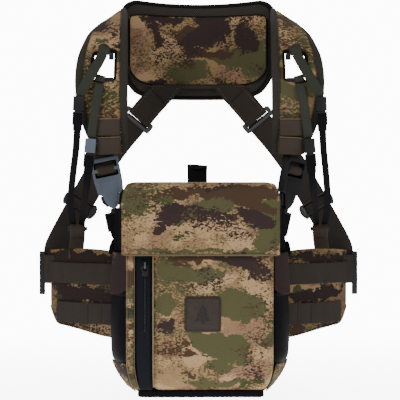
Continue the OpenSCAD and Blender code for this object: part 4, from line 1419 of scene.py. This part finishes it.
@both_sides
def case_side(end, mirror):
    """Stretch pocket, ear, corner guard and pleated gusset of one side."""
    def bulge(u, v):
        """How far the pocket stands off the wall. It is pulled in near its base."""
        base = np.where(v < -0.75, 1 - ((-v - 0.75) / 0.25) ** 2 * 0.6, 1)
        return 0.9 + 10 * (1 - abs(u) ** 2.4) * (0.62 + 0.38 * np.cos(v * 1.1)) * base

    grid, u, v = side_grid(35, -7, -88.6, bulge)
    slab("side_pocket_" + end, grid, 0.6, -0.6, [STRETCH], nodes=["side_pocket_" + end], mirror=mirror,
         shape=tuck)
    hem = on_side([(-bulge(uu, 1.0) - 0.2, uu * 35, -7) for uu in np.linspace(1, -1, 25)])
    binding("side_pocket_hem_" + end, hem, lambda q: (-1, 0, 0), 5, 2.4, BLACK_WEB, closed=False,
            mirror=mirror)
    ear = lambda u, v: 1.4 + (8.6 - 2.2 * v) * (1 - abs(u) ** 2.4)
    grid, u, v = side_grid(35.5, 41, -8, ear, 21, 15)
    grid[..., 2] += 7 * np.maximum(0, -v) ** 3 * np.abs(u) ** 5
    slab("side_ear_" + end, grid, 0.8, -0.9, [CAMO_EAR], mirror=mirror)
    guard = lambda u, v: 2.0 + 2.4 * (1 - u ** 6) * (0.6 + 0.4 * v) + 1.2 * v
    grid, u, v = side_grid(35.5, -87, -119, guard, 21, 11)
    slab("corner_guard_" + end, grid, 0.9, -0.9, [CAMO_SIDE], mirror=mirror, shape=tuck)
    for k, zz in enumerate((-87.4, -118)):
        line = on_side([(-4.2 + (k * 2.2), y, zz) for y in np.linspace(35, -35, 20)])
        tube(f"guard_edge_{k}_{end}", line, 0.5, HEM, sides=6, mirror=mirror, shape=tuck)
    pleat = lambda u, v: 1.5 + 1.4 * np.cos(u * 9) * (1 - v * 0.3)
    grid, u, v = side_grid(33, 92, 39.5, pleat, 31, 13)
    slab("side_gusset_" + end, grid, 0.6, -0.6, [BLACK], mirror=mirror)


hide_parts("side_ears")
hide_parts("corner_guards")
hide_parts("side_gussets")

x, z, u, v = rounded_grid((-BASE_HALF, -91), (BASE_HALF, -13), 8, 31, 25)
grid = np.stack([x, z, np.full_like(x, -121.0)], -1)[::-1]
slab("base_band_pad", grid, -4.6 * pillow(u, v, 14)[::-1] + 0.2, 3.6 * pillow(u, v, 8)[::-1], [BLACK],
     nodes=["base_band"])
grid, u, v = panel((-BASE_HALF, -124.5), (BASE_HALF, -115.5), 3, 35, 9, BASE_Y)
slab("base_band_front", grid, 2.6 * pillow(u, v, 4) + 0.2, -4, [BLACK])

# ---------------------------------------------------------------- lid


def lid_half(z):
    """Half the lid's width at this height."""
    return 89 - 5.5 * np.clip((z - 100) / 22, 0, 1) ** 1.8


def sewn_lid(p):
    """The lid is sewn down at its hinge, its hem, its sides and its front edge."""
    return 1.0 if p[1] > -8 or p[2] < 43 or abs(p[0]) > 78 or (p[2] > 108 and p[1] < -84) else 0.0


def lid():
    """One padded hood: a top, a rounded front edge and a front flap, with short sides turned in."""
    top = [(y, 120.6 + 0.6 * math.sin(math.pi * (y + 4) / -88)) for y in np.linspace(-4.5, -90, 20)]
    arc = [(-90 - 7.6 * math.sin(a), 113 + 7.6 * math.cos(a)) for a in np.linspace(0.25, math.pi / 2, 6)]
    flap = [(-97.6, z) for z in np.linspace(108, 40.5, 20)] + [(-97.4, 38.6)]
    line = top + arc + flap
    wrap = np.array([0, 0.25, 0.5, 0.75, 1.0])
    across = np.linspace(-1, 1, 35)
    rows = len(line)
    grid = np.zeros((rows, len(across) + 2 * len(wrap), 3))
    for i, (y, z) in enumerate(line):
        a, b = line[max(i - 1, 0)], line[min(i + 1, rows - 1)]
        run = unit(np.array([b[0] - a[0], b[1] - a[1]]))
        inward = np.array([-run[1], run[0]])
        inward = inward * np.sign(inward[0] * (-45 - y) + inward[1] * (60 - z))
        half = lid_half(z) if i >= len(top) else 82 + 4.5 * np.clip((-y - 4) / -90 + 1, 0, 1)
        deep = 5.5 if i < len(top) + len(arc) else 5.5 + 12 * min(1, (108 - z) / 25)
        side = [np.array([y, z]) + inward * (1.5 + w * deep) for w in wrap]
        row = [(-half - (0 if w > 0 else 0.8), *at) for w, at in zip(wrap[::-1], side[::-1])]
        for c in across:
            round_off = 1.5 * max(0, (abs(c) - 0.965) / 0.035) ** 2
            row.append((c * (half - 1.2), *(np.array([y, z]) + inward * round_off * 0.5)))
        grid[i] = row + [(half, *at) for at in side]
    m = grid.shape[1]
    u = np.tile(np.linspace(-1, 1, m), (rows, 1))
    v = np.tile(np.linspace(1, -1, rows)[:, None], (1, m))
    soft = 0.7 * wave(grid, 38, 7.0) * crown(u, v, 6)
    o = slab("lid_hood", grid, 1.5 + soft, -1.5, [CAMO_LID, LINING],
             zone=lambda i, j, s: 1 if s == 1 else 0, body="lid", nodes=["lid_panel"])
    puff(o, 2, 2.2, sewn_lid)


lid()
hem_path = [(x, -98.9, 39.2) for x in np.linspace(-87.5, 87.5, 40)]
binding("lid_hem", hem_path, lambda q: FORWARD, 2.4, 3.2, HEM_WEB, closed=False, body="lid")
stitches("lid_hem_seam", [(x, -99.4, 44.6) for x in np.linspace(-84, 84, 60)], THREAD, FORWARD,
         body="lid", length=2.0, every=3.4, width=0.5, lift=0.45)
for end, sx in (("left", -1), ("right", 1)):
    side = [(sx * (lid_half(z) - 5), -99.5, z) for z in np.linspace(112, 42, 30)]
    stitches("lid_side_seam_" + end, side, THREAD, FORWARD, body="lid", length=2.0, every=3.4, width=0.5,
             lift=0.45)

hinge_rows = [(0.5, 112), (-0.6, 117), (-3, 121.6), (-8, 123.0), (-13, 123.2)]
grid = np.array([[(x, y, z) for x in np.linspace(80, -80, 33)] for y, z in hinge_rows])
strip = slab("lid_hinge_strip", grid, 0.5, -0.5, [CAMO_LID], body=None)
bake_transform(strip, "harness", "lid", start=(0, 0.0, 0.119), end=(0, -0.011, 0.123))

loop_path = curve([(-3, -3.4, 112), (-3, -3.4, 128), (-3, -3.2, 140), (-3, -1.6, 144), (-3, 0, 140),
                   (-3, 0.2, 128), (-3, 0.2, 112)], 4)
loop = ribbon("grab_loop_tape", edges(loop_path, 24.5, (0.05, -0.2, 1)), BLACK_WEB, nodes=["grab_loop"])
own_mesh(loop)

for node, mat in (("floor_board", DARK_PLASTIC), ("pocket_magnets", STEEL), ("lid_magnets", STEEL)):
    NODES[node].data.materials.clear()
    NODES[node].data.materials.append(mat)

# ---------------------------------------------------------------- close
low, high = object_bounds()
